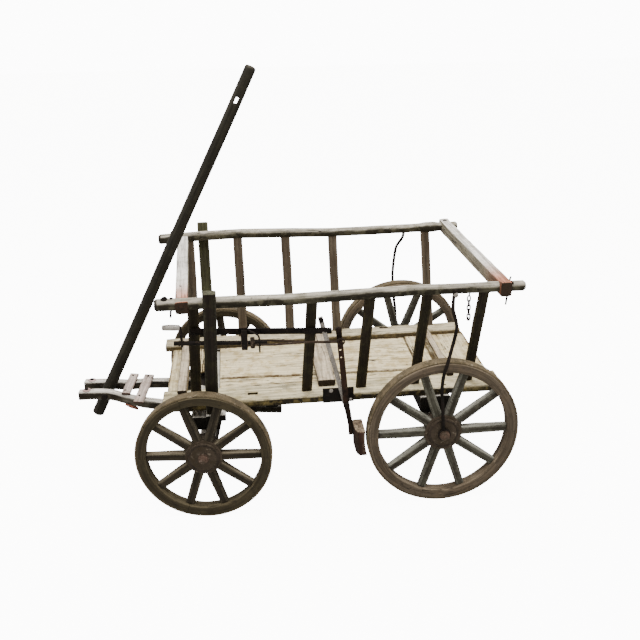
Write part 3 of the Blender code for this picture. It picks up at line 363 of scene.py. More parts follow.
def hull_corners(node, low):
    """Corners of the hull of a node's points above a height; its holes and mortises drop out."""
    bm = bmesh.new()
    seen = set()
    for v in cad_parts[node].data.vertices:
        key = tuple(round(c, 5) for c in v.co)
        if key not in seen and v.co.z >= low:
            seen.add(key)
            bm.verts.new(v.co)
    hull = bmesh.ops.convex_hull(bm, input=bm.verts)
    inside = {g for g in hull["geom_interior"] + hull["geom_unused"] if isinstance(g, bmesh.types.BMVert)}
    bmesh.ops.delete(bm, geom=list(inside), context="VERTS")
    bmesh.ops.dissolve_limit(bm, angle_limit=math.radians(2), verts=bm.verts, edges=bm.edges)
    corners = np.array([v.co for v in bm.verts])
    bm.free()
    return corners


def stick_of(node, low=-9.0):
    """Ends of a straight timber: two centres, and at each the half vectors of its wide and its deep side."""
    corners = hull_corners(node, low)
    middle = corners.mean(axis=0)
    _, _, axes = np.linalg.svd(corners - middle)
    share = (corners - middle) @ axes[0]
    path, wide, deep = [], [], []
    for end in (corners[share < 0], corners[share >= 0]):
        centre = end.mean(axis=0)
        path.append(centre)
        for out, axis in ((wide, axes[1]), (deep, axes[2])):
            beyond = end[(end - centre) @ axis > 0].mean(axis=0) - centre
            out.append(beyond)
    return np.array(path), np.array(wide), np.array(deep)


def crooked(path, wide, deep, amount, seed, count=9):
    """Lets a straight timber wander sideways between its ends, by noise on a half sine, and thin a little."""
    t = np.linspace(0, 1, count)
    swing = np.sin(np.pi * t) * amount
    out = [first + (last - first) * t[:, None] for first, last in (path, wide, deep)]
    spots = np.stack([t * 3.1, np.full(count, seed * 1.7), np.zeros(count)], axis=-1)
    out[0] = out[0] + unit(out[1]) * (swing * noise(spots, seed))[:, None]
    out[0] = out[0] + unit(out[2]) * (swing * noise(spots + 9, seed))[:, None]
    size = 1 - 0.03 * (noise(spots + 21, seed)[:, None] + 1) / 2
    return out[0], out[1] * size, out[2] * size


def plain_timber(node, finish, body, radius, wear, bend, seed, low=-9.0):
    """Replaces a straight wooden node by a weathered timber of the same ends."""
    ends = crooked(*stick_of(node, low), bend, seed)
    return timber(Shape(), *ends, radius, wear, seed).build("worn_" + node, finish, body, node)


# Materials
def shader_group(name, inputs, outputs):
    group = bpy.data.node_groups.new(name, "ShaderNodeTree")
    for label, kind, value in inputs:
        socket = group.interface.new_socket(label, in_out="INPUT", socket_type=kind)
        if value is not None:
            socket.default_value = value
    for label, kind in outputs:
        group.interface.new_socket(label, in_out="OUTPUT", socket_type=kind)
    return group, group.nodes.new("NodeGroupInput"), group.nodes.new("NodeGroupOutput")


class Wiring:
    """Short calls for the nodes that the groups and materials are made of."""

    def __init__(self, tree):
        self.tree = tree

    def link(self, source, target):
        self.tree.links.new(source, target)

    def put(self, socket, value):
        if hasattr(value, "is_linked"):
            self.link(value, socket)
        else:
            socket.default_value = value

    def stretch(self, vector, factors):
        node = self.tree.nodes.new("ShaderNodeVectorMath")
        node.operation = "MULTIPLY"
        self.put(node.inputs[0], vector)
        node.inputs[1].default_value = factors
        return node.outputs[0]

    def noise(self, vector, scale, detail=4.0, rough=0.6):
        node = self.tree.nodes.new("ShaderNodeTexNoise")
        self.link(vector, node.inputs["Vector"])
        node.inputs["Scale"].default_value = scale
        node.inputs["Detail"].default_value = detail
        node.inputs["Roughness"].default_value = rough
        return node.outputs["Fac"]

    def span(self, value, low, high, to_low=0.0, to_high=1.0):
        node = self.tree.nodes.new("ShaderNodeMapRange")
        node.interpolation_type = "SMOOTHSTEP"
        self.put(node.inputs["Value"], value)
        for label, v in (("From Min", low), ("From Max", high), ("To Min", to_low), ("To Max", to_high)):
            self.put(node.inputs[label], v)
        return node.outputs["Result"]

    def math(self, operation, a, b=0.0, clamp=False):
        node = self.tree.nodes.new("ShaderNodeMath")
        node.operation = operation
        node.use_clamp = clamp
        self.put(node.inputs[0], a)
        self.put(node.inputs[1], b)
        return node.outputs[0]

    def times(self, a, b, clamp=False):
        return self.math("MULTIPLY", a, b, clamp)

    def blend(self, factor, a, b, mode="MIX"):
        node = self.tree.nodes.new("ShaderNodeMix")
        node.data_type = "RGBA"
        node.blend_type = mode
        self.put(node.inputs[0], factor)
        self.put(node.inputs[6], a)
        self.put(node.inputs[7], b)
        return node.outputs[2]

    def up(self):
        node = self.tree.nodes.new("ShaderNodeNewGeometry")
        split = self.tree.nodes.new("ShaderNodeSeparateXYZ")
        self.link(node.outputs["Normal"], split.inputs[0])
        return split.outputs["Z"]


def grain_group():
    """Weathered wood: long streaks, thin open cracks, stains, pale worn edges, and pale tops that are partly
    sun-faded wood and partly painted top light.

    The pale tops are a ramp of the surface's upward slope, partly sun-faded wood and partly painted top light;
    the faces that look sideways or down keep the dark body colour, partly painted shade; the streaks are
    noise stretched along the grain; a crack is where a slow stretched noise passes its middle value.
    """
    inputs = (("Grain", "NodeSocketVector", None), ("Place", "NodeSocketVector", None),
              ("Edge", "NodeSocketFloat", 0.0), ("Bleached", "NodeSocketColor", None),
              ("Body", "NodeSocketColor", None), ("Dark", "NodeSocketColor", None),
              ("Stain", "NodeSocketColor", None), ("Bleach", "NodeSocketFloat", 0.5),
              ("Cracks", "NodeSocketFloat", 0.5), ("Stains", "NodeSocketFloat", 0.4),
              ("Worn", "NodeSocketFloat", 0.3), ("Streaks", "NodeSocketFloat", 0.5),
              ("Blush", "NodeSocketColor", None), ("Blush Start", "NodeSocketFloat", 8.0),
              ("Blush Full", "NodeSocketFloat", 9.0), ("Grime", "NodeSocketFloat", 0.0),
              ("Sawn", "NodeSocketFloat", 0.95))
    outputs = (("Color", "NodeSocketColor"), ("Height", "NodeSocketFloat"), ("Roughness", "NodeSocketFloat"))
    group, given, out = shader_group("weathered_grain", inputs, outputs)
    w = Wiring(group)
    grain, place = given.outputs["Grain"], given.outputs["Place"]
    broad = w.noise(w.stretch(grain, (5.0, 130.0, 130.0)), 1.0, 5.0, 0.62)
    fine = w.noise(w.stretch(grain, (18.0, 620.0, 620.0)), 1.0, 3.0, 0.6)
    slow = w.noise(w.stretch(grain, (3.2, 62.0, 62.0)), 1.0, 2.0, 0.5)
    patches = w.noise(place, 9.0, 5.0, 0.62)
    mottle = w.noise(place, 33.0, 4.0, 0.66)
    specks = w.noise(place, 150.0, 3.0, 0.6)
    crack = w.math("ABSOLUTE", w.math("SUBTRACT", slow, 0.53))
    crack = w.span(crack, 0.004, 0.016, 1.0, 0.0)
    some = w.span(w.noise(w.stretch(grain, (2.2, 20.0, 20.0)), 1.0, 1.0), 0.48, 0.62)
    crack = w.times(w.times(crack, some), given.outputs["Cracks"])
    # Pale tops from the upward slope with patches: partly sun-faded wood, partly painted top light; the other
    # faces keep the dark body colour, partly painted shade.
    top = w.math("ADD", w.up(), w.times(w.math("SUBTRACT", patches, 0.5), 1.1))
    sun_and_top_light = w.times(w.span(top, 0.12, 0.8), given.outputs["Bleach"], True)
    color = w.blend(sun_and_top_light, given.outputs["Body"], given.outputs["Bleached"])
    stain = w.times(w.span(patches, 0.5, 0.68), given.outputs["Stains"])
    color = w.blend(stain, color, given.outputs["Stain"])
    mottled = w.times(w.span(mottle, 0.47, 0.62), given.outputs["Stains"])
    color = w.blend(mottled, color, given.outputs["Stain"])
    worn = w.times(w.span(given.outputs["Edge"], 0.35, 1.0), w.span(specks, 0.35, 0.62))
    color = w.blend(w.times(worn, given.outputs["Worn"]), color, given.outputs["Bleached"])
    split = w.tree.nodes.new("ShaderNodeSeparateXYZ")
    w.link(place, split.inputs[0])
    blush = w.span(split.outputs["Y"], given.outputs["Blush Start"], given.outputs["Blush Full"])
    blush = w.times(blush, w.span(patches, 0.25, 0.52, 0.35, 0.95))
    color = w.blend(blush, color, given.outputs["Blush"], "MULTIPLY")
    streak = w.math("ADD", w.span(broad, 0.57, 0.4, 0.0, 0.85), w.span(fine, 0.58, 0.36, 0.0, 0.4), True)
    streak = w.times(streak, given.outputs["Streaks"])
    dots = w.times(w.span(specks, 0.59, 0.68), given.outputs["Streaks"])
    streak = w.math("MAXIMUM", streak, w.times(dots, 1.15), True)
    color = w.blend(streak, color, given.outputs["Dark"])
    color = w.blend(crack, color, given.outputs["Dark"])
    # Darker along the rounded edges, in mottled patches.
    edge_darkening = w.times(w.span(given.outputs["Edge"], 0.3, 0.95), w.span(mottle, 0.3, 0.6, 0.25, 1.0))
    color = w.blend(w.times(edge_darkening, given.outputs["Grime"]), color, given.outputs["Dark"])
    sawn = w.times(w.span(given.outputs["Edge"], -0.15, -0.85), w.span(specks, 0.3, 0.6, 0.93, 1.0))
    color = w.blend(w.times(sawn, given.outputs["Sawn"]), color, given.outputs["Dark"])
    deep = w.times(crack, 0.85)
    color = w.blend(deep, color, (0.012, 0.009, 0.006, 1.0))
    height = w.math("ADD", w.times(fine, 0.35), w.times(broad, 0.75))
    height = w.math("SUBTRACT", height, w.times(crack, 1.6))
    w.link(color, out.inputs["Color"])
    w.link(height, out.inputs["Height"])
    w.link(w.span(broad, 0.3, 0.7, 0.95, 0.78), out.inputs["Roughness"])
    return group


def rust_group():
    """Old iron: dark scale with brown and orange rust in patches, and pitting."""
    inputs = (("Place", "NodeSocketVector", None), ("Iron", "NodeSocketColor", None),
              ("Rust", "NodeSocketColor", None), ("Bright", "NodeSocketColor", None),
              ("Amount", "NodeSocketFloat", 0.5))
    outputs = (("Color", "NodeSocketColor"), ("Height", "NodeSocketFloat"), ("Roughness", "NodeSocketFloat"),
               ("Metal", "NodeSocketFloat"))
    group, given, out = shader_group("old_iron_rust", inputs, outputs)
    w = Wiring(group)
    place = given.outputs["Place"]
    patches = w.noise(place, 28.0, 6.0, 0.65)
    pits = w.noise(place, 420.0, 4.0, 0.6)
    bright = w.noise(place, 75.0, 4.0, 0.6)
    rusty = w.times(w.span(patches, 0.36, 0.6), given.outputs["Amount"])
    color = w.blend(rusty, given.outputs["Iron"], given.outputs["Rust"])
    color = w.blend(w.span(bright, 0.58, 0.7, 0.0, 0.55), color, given.outputs["Bright"])
    color = w.blend(w.span(pits, 0.55, 0.35, 0.0, 0.5), color, (0.02, 0.015, 0.012, 1.0))
    w.link(color, out.inputs["Color"])
    w.link(w.math("ADD", w.times(pits, 0.6), patches), out.inputs["Height"])
    w.link(w.span(patches, 0.35, 0.6, 0.55, 0.9), out.inputs["Roughness"])
    w.link(w.math("SUBTRACT", 0.75, w.times(rusty, 0.75)), out.inputs["Metal"])
    return group


def shade(code):
    """A colour from its six hexadecimal digits, as light and not as screen values."""
    parts = [int(code[i:i + 2], 16) / 255 for i in (0, 2, 4)]
    return tuple(c / 12.92 if c < 0.04045 else ((c + 0.055) / 1.055) ** 2.4 for c in parts) + (1.0,)


def new_material(name, group, inputs, bump, distance):
    """A material whose colour, roughness and bump come from a group."""
    made = bpy.data.materials.new(name)
    made.use_nodes = True
    tree = made.node_tree
    w = Wiring(tree)
    shader = tree.nodes["Principled BSDF"]
    node = tree.nodes.new("ShaderNodeGroup")
    node.node_tree = group
    for label, value in inputs.items():
        node.inputs[label].default_value = value
    places = tree.nodes.new("ShaderNodeTexCoord")
    w.link(places.outputs["Object"], node.inputs["Place"])
    if "Grain" in node.inputs:
        for label in ("grain", "edge"):
            layer = tree.nodes.new("ShaderNodeAttribute")
            layer.attribute_name = label
            w.link(layer.outputs["Vector" if label == "grain" else "Fac"], node.inputs[label.capitalize()])
    w.link(node.outputs["Color"], shader.inputs["Base Color"])
    w.link(node.outputs["Roughness"], shader.inputs["Roughness"])
    if "Metal" in node.outputs:
        w.link(node.outputs["Metal"], shader.inputs["Metallic"])
    relief = tree.nodes.new("ShaderNodeBump")
    relief.inputs["Strength"].default_value = bump
    relief.inputs["Distance"].default_value = distance
    w.link(node.outputs["Height"], relief.inputs["Height"])
    w.link(relief.outputs["Normal"], shader.inputs["Normal"])
    shader.inputs["Specular IOR Level"].default_value = 0.25
    return made


GRAIN = grain_group()
RUST = rust_group()


# The first colour goes on upward faces, partly sun-faded and partly painted top light, and on worn edges; the
# second goes on sideways and downward faces, partly painted shade; the first number sets how far the tops go
# pale.
def wood(name, pale_lit_and_worn, body, dark, stain, sun_and_top_light=0.8, cracks=0.8, stains=0.4, worn=0.4, bump=0.7,
         streaks=0.5, blush=None, edge_darkening=0.0, sawn=0.95):
    values = {"Bleached": shade(pale_lit_and_worn), "Body": shade(body), "Dark": shade(dark), "Stain": shade(stain),
              "Bleach": sun_and_top_light, "Cracks": cracks, "Stains": stains, "Worn": worn, "Streaks": streaks,
              "Grime": edge_darkening, "Sawn": sawn}
    if blush:
        values["Blush"] = shade(blush[0])
        values["Blush Start"], values["Blush Full"] = blush[1:]
    return new_material(name, GRAIN, values, bump, 0.0012)


def iron(name, base, rust, bright, amount):
    values = {"Iron": shade(base), "Rust": shade(rust), "Bright": shade(bright), "Amount": amount}
    return new_material(name, RUST, values, 0.45, 0.0006)


# Near-white tops over near-black sides, as in the sills, rails and carriage timbers, are painted top light and
# painted shade.
FINISH = {
    "floor": wood("floor_boards", "f0dfb4", "a8946a", "46331b", "ab9055", 1.0, 1.0, 0.55, 0.1, streaks=0.42,
                  edge_darkening=0.95),
    # The near sill's copy is darker as painted shade and the far sill's copy lighter as painted light: one wood
    # in two copies.
    "sill": wood("sill_planks", "eadbb2", "1f190d", "211809", "9c8850", 1.0, 1.0, 0.42, 0.1, streaks=0.5,
                 edge_darkening=0.55),
    "lit_far_sill": wood("far_sill_plank", "dccdaa", "4c4029", "1c160b", "8a774f", 1.0, 1.0, 0.4, 0.1,
                     streaks=0.52, edge_darkening=0.4),
    "rail": wood("rail_poles", "c2b9a6", "231e10", "1c170b", "6c6650", 1.0, 0.9, 0.45, 0.3, streaks=0.55),
    # The near slats' copy is darker as painted shade and the far slats' copy, slat_wood_lit, lighter as painted
    # light: one wood in two copies.
    "slat": wood("slat_wood", "55492c", "201708", "0d0903", "353018", 0.6, 0.5, 0.5, 0.45, sawn=0.3),
    "lit_far_slat": wood("slat_wood_lit", "776a56", "463a2c", "221b11", "52493a", 0.6, 0.5, 0.45, 0.3, sawn=0.3),
    # The near stake's copy is darker as painted shade and the far stake's copy lighter as painted light: one
    # wood in two copies.
    "stake": wood("stake_wood", "62614c", "1c1207", "090603", "2a2510", 0.75, 0.4, 0.6, 0.2, sawn=0.0),
    "lit_far_stake": wood("far_stake_wood", "6e6d52", "3a3723", "17130a", "45452a", 0.8, 0.4, 0.6, 0.22,
                      sawn=0.2),
    "cross": wood("crossboard_wood", "efe9dd", "827b68", "2a1e12", "aaa08c", 1.0, 1.0, 0.4, 0.2, streaks=0.5,
                  blush=("cf8468", 0.14, 0.35), sawn=0.985),
    "batten": wood("batten_wood", "d6c4a8", "4a3a26", "1f150a", "9a8564", 1.0, 1.0, 0.45, 0.25, streaks=0.5,
                   edge_darkening=0.35),
    "rim": wood("rim_wood", "93836c", "5a4e3f", "241c12", "6a5a46", 0.75, 0.6, 0.45, 0.35, 0.5, streaks=0.55),
    "front_rim": wood("front_rim_wood", "6f634a", "38301f", "1b150c", "483e29", 0.75, 0.6, 0.45, 0.3, 0.5,
                      streaks=0.55),
    "spoke": wood("spoke_wood", "aeab9c", "332e24", "1a160e", "626050", 1.0, 0.5, 0.35, 0.25, 0.5,
                  streaks=0.5),
    "front_spoke": wood("front_spoke_wood", "8c8069", "2a2317", "130e07", "453b29", 0.9, 0.5, 0.35, 0.2, 0.5,
                        streaks=0.5),
    "nave": wood("nave_wood", "5a4e3e", "30271c", "120d08", "40342a", 0.6, 0.6, 0.5, 0.3),
    "carriage": wood("carriage_timber", "efe7d8", "221b0f", "120d06", "6a604d", 1.0, 0.9, 0.3, 0.3,
                     streaks=0.52),
    "pole": wood("tow_pole_wood", "5a5546", "221e14", "0e0c07", "332f22", 0.55, 0.6, 0.45, 0.4, sawn=0.2),
    "plate": wood("plate_wood", "dccabd", "6b564a", "3a2a20", "a68d7c", 1.0, 0.8, 0.45, 0.25, streaks=0.45,
                  edge_darkening=0.25),
    "split": wood("split_wood", "a56a50", "4d241a", "1c0a06", "6e3a2a", 0.7, 1.0, 0.5, 0.3, streaks=0.6,
                  sawn=0.4),
    "block": wood("brake_block_wood", "a08c74", "301d12", "1c0e06", "4c3022", 1.0, 0.9, 0.5, 0.25,
                  streaks=0.6),
    "iron": iron("old_iron", "120f0c", "21170f", "4a3a2e", 0.6),
    "lever": iron("lever_iron", "160f0a", "3a2314", "54402e", 0.7),
    "rod": iron("rod_iron", "2e241c", "4a392b", "80705f", 0.6),
    "hanger": iron("hanger_iron", "5a4a3c", "6e5a48", "a29484", 0.6),
    "pink_iron": iron("pink_washer_iron", "c4aca6", "9c776c", "e0d2cd", 0.45),
    "pale_iron": iron("worn_iron", "b4ada3", "7d7166", "dcd8d2", 0.45),
    "tyre": iron("tyre_iron", "62563f", "7b6b52", "b5a68f", 0.7),
    "hub_iron": iron("hub_iron", "403629", "52463a", "8f8271", 0.6),
    "hub_plate": iron("hub_plate_iron", "52473a", "6a5044", "a89486", 0.6),
}


# Wheels
def ring_rows(section, radius, angles):
    """Rows of a ring about y: each section point is (radius offset, place along y)."""
    r = radius + section[:, 0]
    x = np.sin(angles)[:, None] * r[None]
    z = -np.cos(angles)[:, None] * r[None]
    y = np.broadcast_to(section[:, 1], x.shape)
    return np.stack([x, y, z], axis=-1), np.broadcast_to(r, x.shape)


def square_section(depth, width, corner, flats=4):
    """A round-cornered section whose outer face lies at 0 and whose inner face lies at -depth."""
    a, b, near = rounded_section((corner / (depth / 2), corner / (width / 2)), flats).T
    return np.stack([a * depth / 2 - depth / 2, b * width / 2], axis=-1), near


def turn_to(points, centre, turned_by):
    """Turn points about z, as the front carriage is turned, and move them to the wheel's centre."""
    c, s = math.cos(turned_by), math.sin(turned_by)
    x, y, z = points[..., 0], points[..., 1], points[..., 2]
    return np.stack([x * c + y * s, -x * s + y * c, z], axis=-1) + np.asarray(centre)


def wheel(tag, body, radius, centre, side, turned_by, rim_depth, nave_radius, first, seed):
    """Iron tyre, five felloes with open joints, ten tapered spokes, and a nave with its iron face."""
    angles = np.linspace(0, 2 * np.pi, RIM_STEPS, endpoint=False)
    section, near = square_section(0.005, 0.0335, 0.0013, 2)
    rows, r = ring_rows(section, radius, angles)
    grain = np.stack([angles[:, None] * r, rows[..., 1], r - radius], axis=-1) + seed
    shift = noise(grain * (18, 90, 90), seed) * 0.0003 - 0.0003
    rows = rows * (1 + shift[..., None] / radius * np.array((1, 0, 1)))
    tyre = Shape().grid(turn_to(rows, centre, turned_by), grain, near[None], True)
    tyre.build("worn_tyre_" + tag, "tyre", body, "tyre_" + tag)

    joints = first + np.arange(5) * 72.0 + 18.0
    fine = np.concatenate([np.radians(j) + np.array((-0.9, -0.45, -0.12, 0.12, 0.45, 0.9)) * 0.0075
                           for j in joints])
    angles = np.sort(np.concatenate([angles, fine % (2 * np.pi)]))
    section, near = square_section(rim_depth, 0.0383, 0.0035, 6)
    rows, r = ring_rows(section, radius - 0.0053, angles)
    gap = np.abs((angles[:, None] - np.radians(joints)[None] + np.pi) % (2 * np.pi) - np.pi).min(axis=1)
    groove = np.clip(1 - gap / 0.0035, 0, 1)[:, None]
    felloe = np.floor((np.degrees(angles) - joints[0]) / 72.0)[:, None] * np.ones_like(r)
    grain = np.stack([angles[:, None] * radius + felloe * 3.7, rows[..., 1] + felloe, r - radius],
                     axis=-1) + seed
    wear = (noise(grain * (16, 110, 110), seed) - 1.0) * 0.0005 * (0.3 + near[None]) - groove * 0.0012
    middle = radius - rim_depth / 2
    outwards = np.sign(r - middle) * np.clip(np.abs(r - middle) / (rim_depth / 2), 0, 1)
    rows[..., 0] += np.sin(angles)[:, None] * wear * outwards
    rows[..., 2] -= np.cos(angles)[:, None] * wear * outwards
    rows[..., 1] += wear * np.sign(rows[..., 1]) * np.clip(np.abs(rows[..., 1]) / 0.019, 0, 1)
    rim = Shape().grid(turn_to(rows, centre, turned_by), grain, near[None] * 0.8 + groove, True)
    rim.build("worn_rim_" + tag, "rim" if "rear" in tag else "front_rim", body, "rim_" + tag)

    spokes = Shape()
    reach = radius - rim_depth - 0.0045
    for i in range(SPOKES):
        angle = math.radians(first + 36.0 * i)
        out = np.array((-math.cos(angle), 0.0, math.sin(angle)))
        across = np.array((math.sin(angle), 0.0, math.cos(angle)))
        axle = np.array((0.0, 1.0, 0.0))
        t = np.linspace(0, 1, 7)[:, None]
        start, end = nave_radius * 0.75, reach
        path = out * (start + (end - start) * t)
        wide = across * (0.0152 - 0.002 * t)
        deep = axle * (0.0138 - 0.0028 * t)
        path, wide, deep = (turn_to(v, 0.0, turned_by) for v in (path, wide, deep))
        timber(spokes, path + np.asarray(centre), wide, deep, 0.0055, 0.0008, seed + i, 0.008, 3)
    spokes.build("worn_spokes_" + tag, "spoke" if "rear" in tag else "front_spoke", body)

    axis = turn_to(np.array((0.0, float(side), 0.0)), 0.0, turned_by)
    nave = Shape()
    big, small = nave_radius, 0.046
    profile = [(-0.0618, 0.013), (-0.0618, 0.036), (-0.061, 0.0385), (-0.055, 0.04), (-0.046, 0.0425),
               (-0.034, 0.0455), (-0.024, big - 0.004), (-0.019, big - 0.0012), (-0.015, big - 0.0012),
               (0.0, big - 0.0008), (0.013, big - 0.0012), (0.0138, big - 0.004), (0.015, small + 0.003),
               (0.0215, small), (0.022, small - 0.002), (0.0215, small - 0.006), (0.019, small - 0.01),
               (0.0188, 0.02), (0.019, 0.0125)]
    turned(nave, profile, centre, axis, NAVE_STEPS, 0.0004, seed)
    nave.build("worn_nave_" + tag, "nave", body, "nave_" + tag)
    metal = Shape()
    plate = [(0.012, big - 0.008), (0.0122, big - 0.0006), (0.0128, big + 0.0002), (0.0148, big + 0.0002),
             (0.0156, big - 0.0008), (0.016, big - 0.004), (0.016, small + 0.0005)]
    turned(metal, plate, centre, axis, NAVE_STEPS, 0.0003, seed + 3)
    band = [(-0.0605, 0.036), (-0.0603, 0.04), (-0.0595, 0.0409), (-0.0508, 0.0421), (-0.05, 0.041),
            (-0.0498, 0.037)]
    turned(metal, band, centre, axis, 48, 0.0002, seed + 5)
    ring = [(0.0165, small - 0.004), (0.018, small + 0.0008), (0.0205, small + 0.001), (0.0212, small),
            (0.0212, small - 0.003)]
    turned(metal, ring, centre, axis, 48, 0.0002, seed + 6)
    face = Shape()
    turned(face, [(0.019, small - 0.012), (0.0196, small - 0.011), (0.0199, small - 0.0125), (0.0199, 0.0215),
                  (0.0192, 0.0205)], centre, axis, 48, 0.0002, seed + 8)
    # Dark iron discs on the hub's face where its holes would be: painted shade standing in for the holes.
    hole_shade_discs = Shape()
    heads = []
    for k in range(5):
        angle = math.radians(first + 36.0 + 72.0 * k)
        spot = turn_to(np.array((-math.cos(angle), 0.0, math.sin(angle))) * (big - 0.005), 0.0, turned_by)
        heads.append((np.asarray(centre) + spot + axis * 0.0158, axis, 0.0036))
        spot = turn_to(np.array((-math.cos(angle + 0.6), 0.0, math.sin(angle + 0.6))) * (small - 0.0175), 0.0,
                       turned_by)
        turned(hole_shade_discs, [(0.0185, 0.0046), (0.0202, 0.0046), (0.0203, 0.003)], np.asarray(centre) + spot,
               axis, 14)
    studs(metal, heads)
    metal.build("hub_irons_" + tag, "hub_iron", body)
    face.build("hub_face_" + tag, "hub_plate", body)
    hole_shade_discs.build("hub_hole_shade_" + tag, "iron", body)


def studs(shape, heads, sides=10):
    """Domed nail and bolt heads: each a low dome of two rings, at a place, facing out along a direction."""
    for spot, out, radius in heads:
        profile = [(-0.002, radius), (0.0, radius), (radius * 0.35, radius * 0.82),
                   (radius * 0.55, radius * 0.4)]
        turned(shape, profile, spot, out, sides)


def hex_nut(shape, centre, axis, radius, thick, seed=0):
    """A six-sided nut with eased corners."""
    profile = [(0.0, radius * 0.8), (0.0006, radius), (thick - 0.0012, radius), (thick, radius * 0.84)]
    turned(shape, profile, centre, axis, 36, 0.0, seed, 6)


def axle_irons(name, body, node, centre, track, turned_by, past, seed):
    """Iron axle with collars, a washer, a nut and a burred end on each side."""
    shape = Shape()
    for side in (1, -1):
        axis = turn_to(np.array((0.0, float(side), 0.0)), 0.0, turned_by)
        inner = track - 0.0676
        turned(shape, [(inner - 0.03, 0.0098), (inner, 0.0098), (inner + 0.0003, 0.0185),
                       (inner + 0.0045, 0.0188), (inner + 0.0048, 0.0098), (track + 0.0226, 0.0098),
                       (track + 0.0226 + past, 0.0098)], centre, axis, 32, 0.0002, seed)
        outer = track + 0.0228 + past
        turned(shape, [(outer, 0.01), (outer, 0.0158), (outer + 0.0016, 0.0158), (outer + 0.0018, 0.01)],
               centre, axis, 32)
        hex_nut(shape, np.asarray(centre) + axis * (outer + 0.0018), axis, 0.0146, 0.0082, seed)
        turned(shape, [(outer + 0.0096, 0.0074), (outer + 0.0116, 0.0076), (outer + 0.0126, 0.0066)], centre,
               axis, 20, 0.0004, seed + 1)
    return shape.build(name, "hub_plate", body, node)


def wheels():
    for side_name, side in SIDES:
        seed = 11 if side > 0 else 17
        rear, front = "rear_" + side_name, "front_" + side_name
        wheel(rear, "wheel_" + rear, REAR_RADIUS, from_axle(0.0, side * REAR_TRACK, REAR_RADIUS), side, 0.0,
              0.0305, 0.0575, SPOKE_TURN[rear], seed)
        wheel(front, "wheel_" + front, FRONT_RADIUS, on_carriage(0.0, side * FRONT_TRACK, FRONT_RADIUS), side,
              STEER, 0.028, 0.055, SPOKE_TURN[front], seed + 2)
    axle_irons("rear_axle_iron", "bed", "rear_axle", from_axle(0.0, 0.0, REAR_RADIUS), REAR_TRACK, 0.0,
               0.0106, 5)
    axle_irons("front_axle_iron", "carriage", "front_axle", on_carriage(0.0, 0.0, FRONT_RADIUS), FRONT_TRACK,
               STEER, 0.0, 9)


# Bed
RAIL_WANDER = {
    "left": ((0.0, 0.0, 0.0), (0.18, 0.001, -0.001), (0.33, 0.002, -0.003), (0.48, 0.001, -0.001),
             (0.68, -0.002, 0.002), (0.85, 0.0, 0.001), (1.0, 0.0, 0.0)),
    "right": ((0.0, 0.0, 0.0), (0.13, 0.0, 0.005), (0.266, -0.001, 0.008), (0.42, 0.0, 0.003),
              (0.57, 0.001, -0.0035), (0.71, 0.001, -0.0035), (0.86, 0.0, -0.001), (1.0, 0.0, 0.0)),
}
KNOTS = {"left": ((0.15, 0.9, 0.0018), (0.42, 2.4, 0.0014), (0.845, 0.4, 0.0026), (0.62, 5.2, 0.0015)),
         "right": ((0.22, 1.2, 0.0016), (0.5, 2.8, 0.0014), (0.86, 0.8, 0.003))}


def rail(side_name, side):
    """A peeled pole: a circle carried along the rail's line, with knots and shallow long hollows."""
    low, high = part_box("rail_" + side_name)
    share = np.linspace(0, 1, 190)
    table = np.array(RAIL_WANDER[side_name])
    x = high.x + (low.x - high.x) * share
    y = side * (RAIL_Y + np.interp(share, table[:, 0], table[:, 1]))
    z = RAIL_Z + np.interp(share, table[:, 0], table[:, 2])
    radius = 0.018 - 0.0025 * share
    angle = np.linspace(0, 2 * np.pi, 32, endpoint=False)
    length = high.x - low.x
    u = share[:, None] * length
    grain = round_grain(u + side, angle, radius[:, None])
    push = noise(grain * (9, 60, 60), 31 + side) * 0.0006 + noise(grain * (30, 200, 200), 5) * 0.0004 - 0.0004
    for place, turn, size in KNOTS[side_name]:
        along, around = (share[:, None] - place) * length / 0.014, (np.cos(angle - turn)[None] - 1) / 0.1
        push = push + size * 0.5 * np.exp(-(along ** 2 + around ** 2))
    if side < 0:
        collar = np.exp(-((x[:, None] - REAR_X + 0.103) / 0.03) ** 4)
        push = push + 0.0034 * collar * (1 + 0.3 * noise(grain * 90, 8))
    end = np.minimum(share, 1 - share) * length
    eased = 1 - 0.3 * np.clip(1 - end / 0.004, 0, 1) ** 2
    full = radius[:, None] * eased[:, None] + push
    rows = np.stack([np.broadcast_to(x[:, None], full.shape), y[:, None] + full * np.cos(angle)[None],
                     z[:, None] + full * np.sin(angle)[None]], axis=-1)
    front = share * length < 0.006
    edge = np.broadcast_to(np.where(front, -1.0, np.where(end < 0.006, 0.6, 0.0))[:, None], full.shape)
    Shape().grid(rows, grain, edge).build("pole_rail_" + side_name, "rail", "bed", "rail_" + side_name)


def bored(made, cutters):
    """Cut closed boxes or bars out of a finished piece, then remove them."""
    for cutter in cutters:
        modifier = made.modifiers.new("cut", "BOOLEAN")
        modifier.operation = "DIFFERENCE"
        modifier.object = cutter
        with bpy.context.temp_override(object=made, active_object=made):
            bpy.ops.object.modifier_apply(modifier=modifier.name)
        bpy.data.objects.remove(cutter)


def cutter_box(centre, a, b, c):
    """A closed box from its centre and three half vectors."""
    signs = ((-1, -1, -1), (1, -1, -1), (1, 1, -1), (-1, 1, -1),
             (-1, -1, 1), (1, -1, 1), (1, 1, 1), (-1, 1, 1))
    corners = [np.asarray(centre) + i * np.asarray(a) + j * np.asarray(b) + k * np.asarray(c)
               for i, j, k in signs]
    faces = [(3, 2, 1, 0), (4, 5, 6, 7), (0, 1, 5, 4), (1, 2, 6, 5), (2, 3, 7, 6), (3, 0, 4, 7)]
    mesh = bpy.data.meshes.new("cutter")
    mesh.from_pydata([tuple(v) for v in corners], [], faces)
    made = placed("cutter", mesh)
    outward(mesh)
    return made


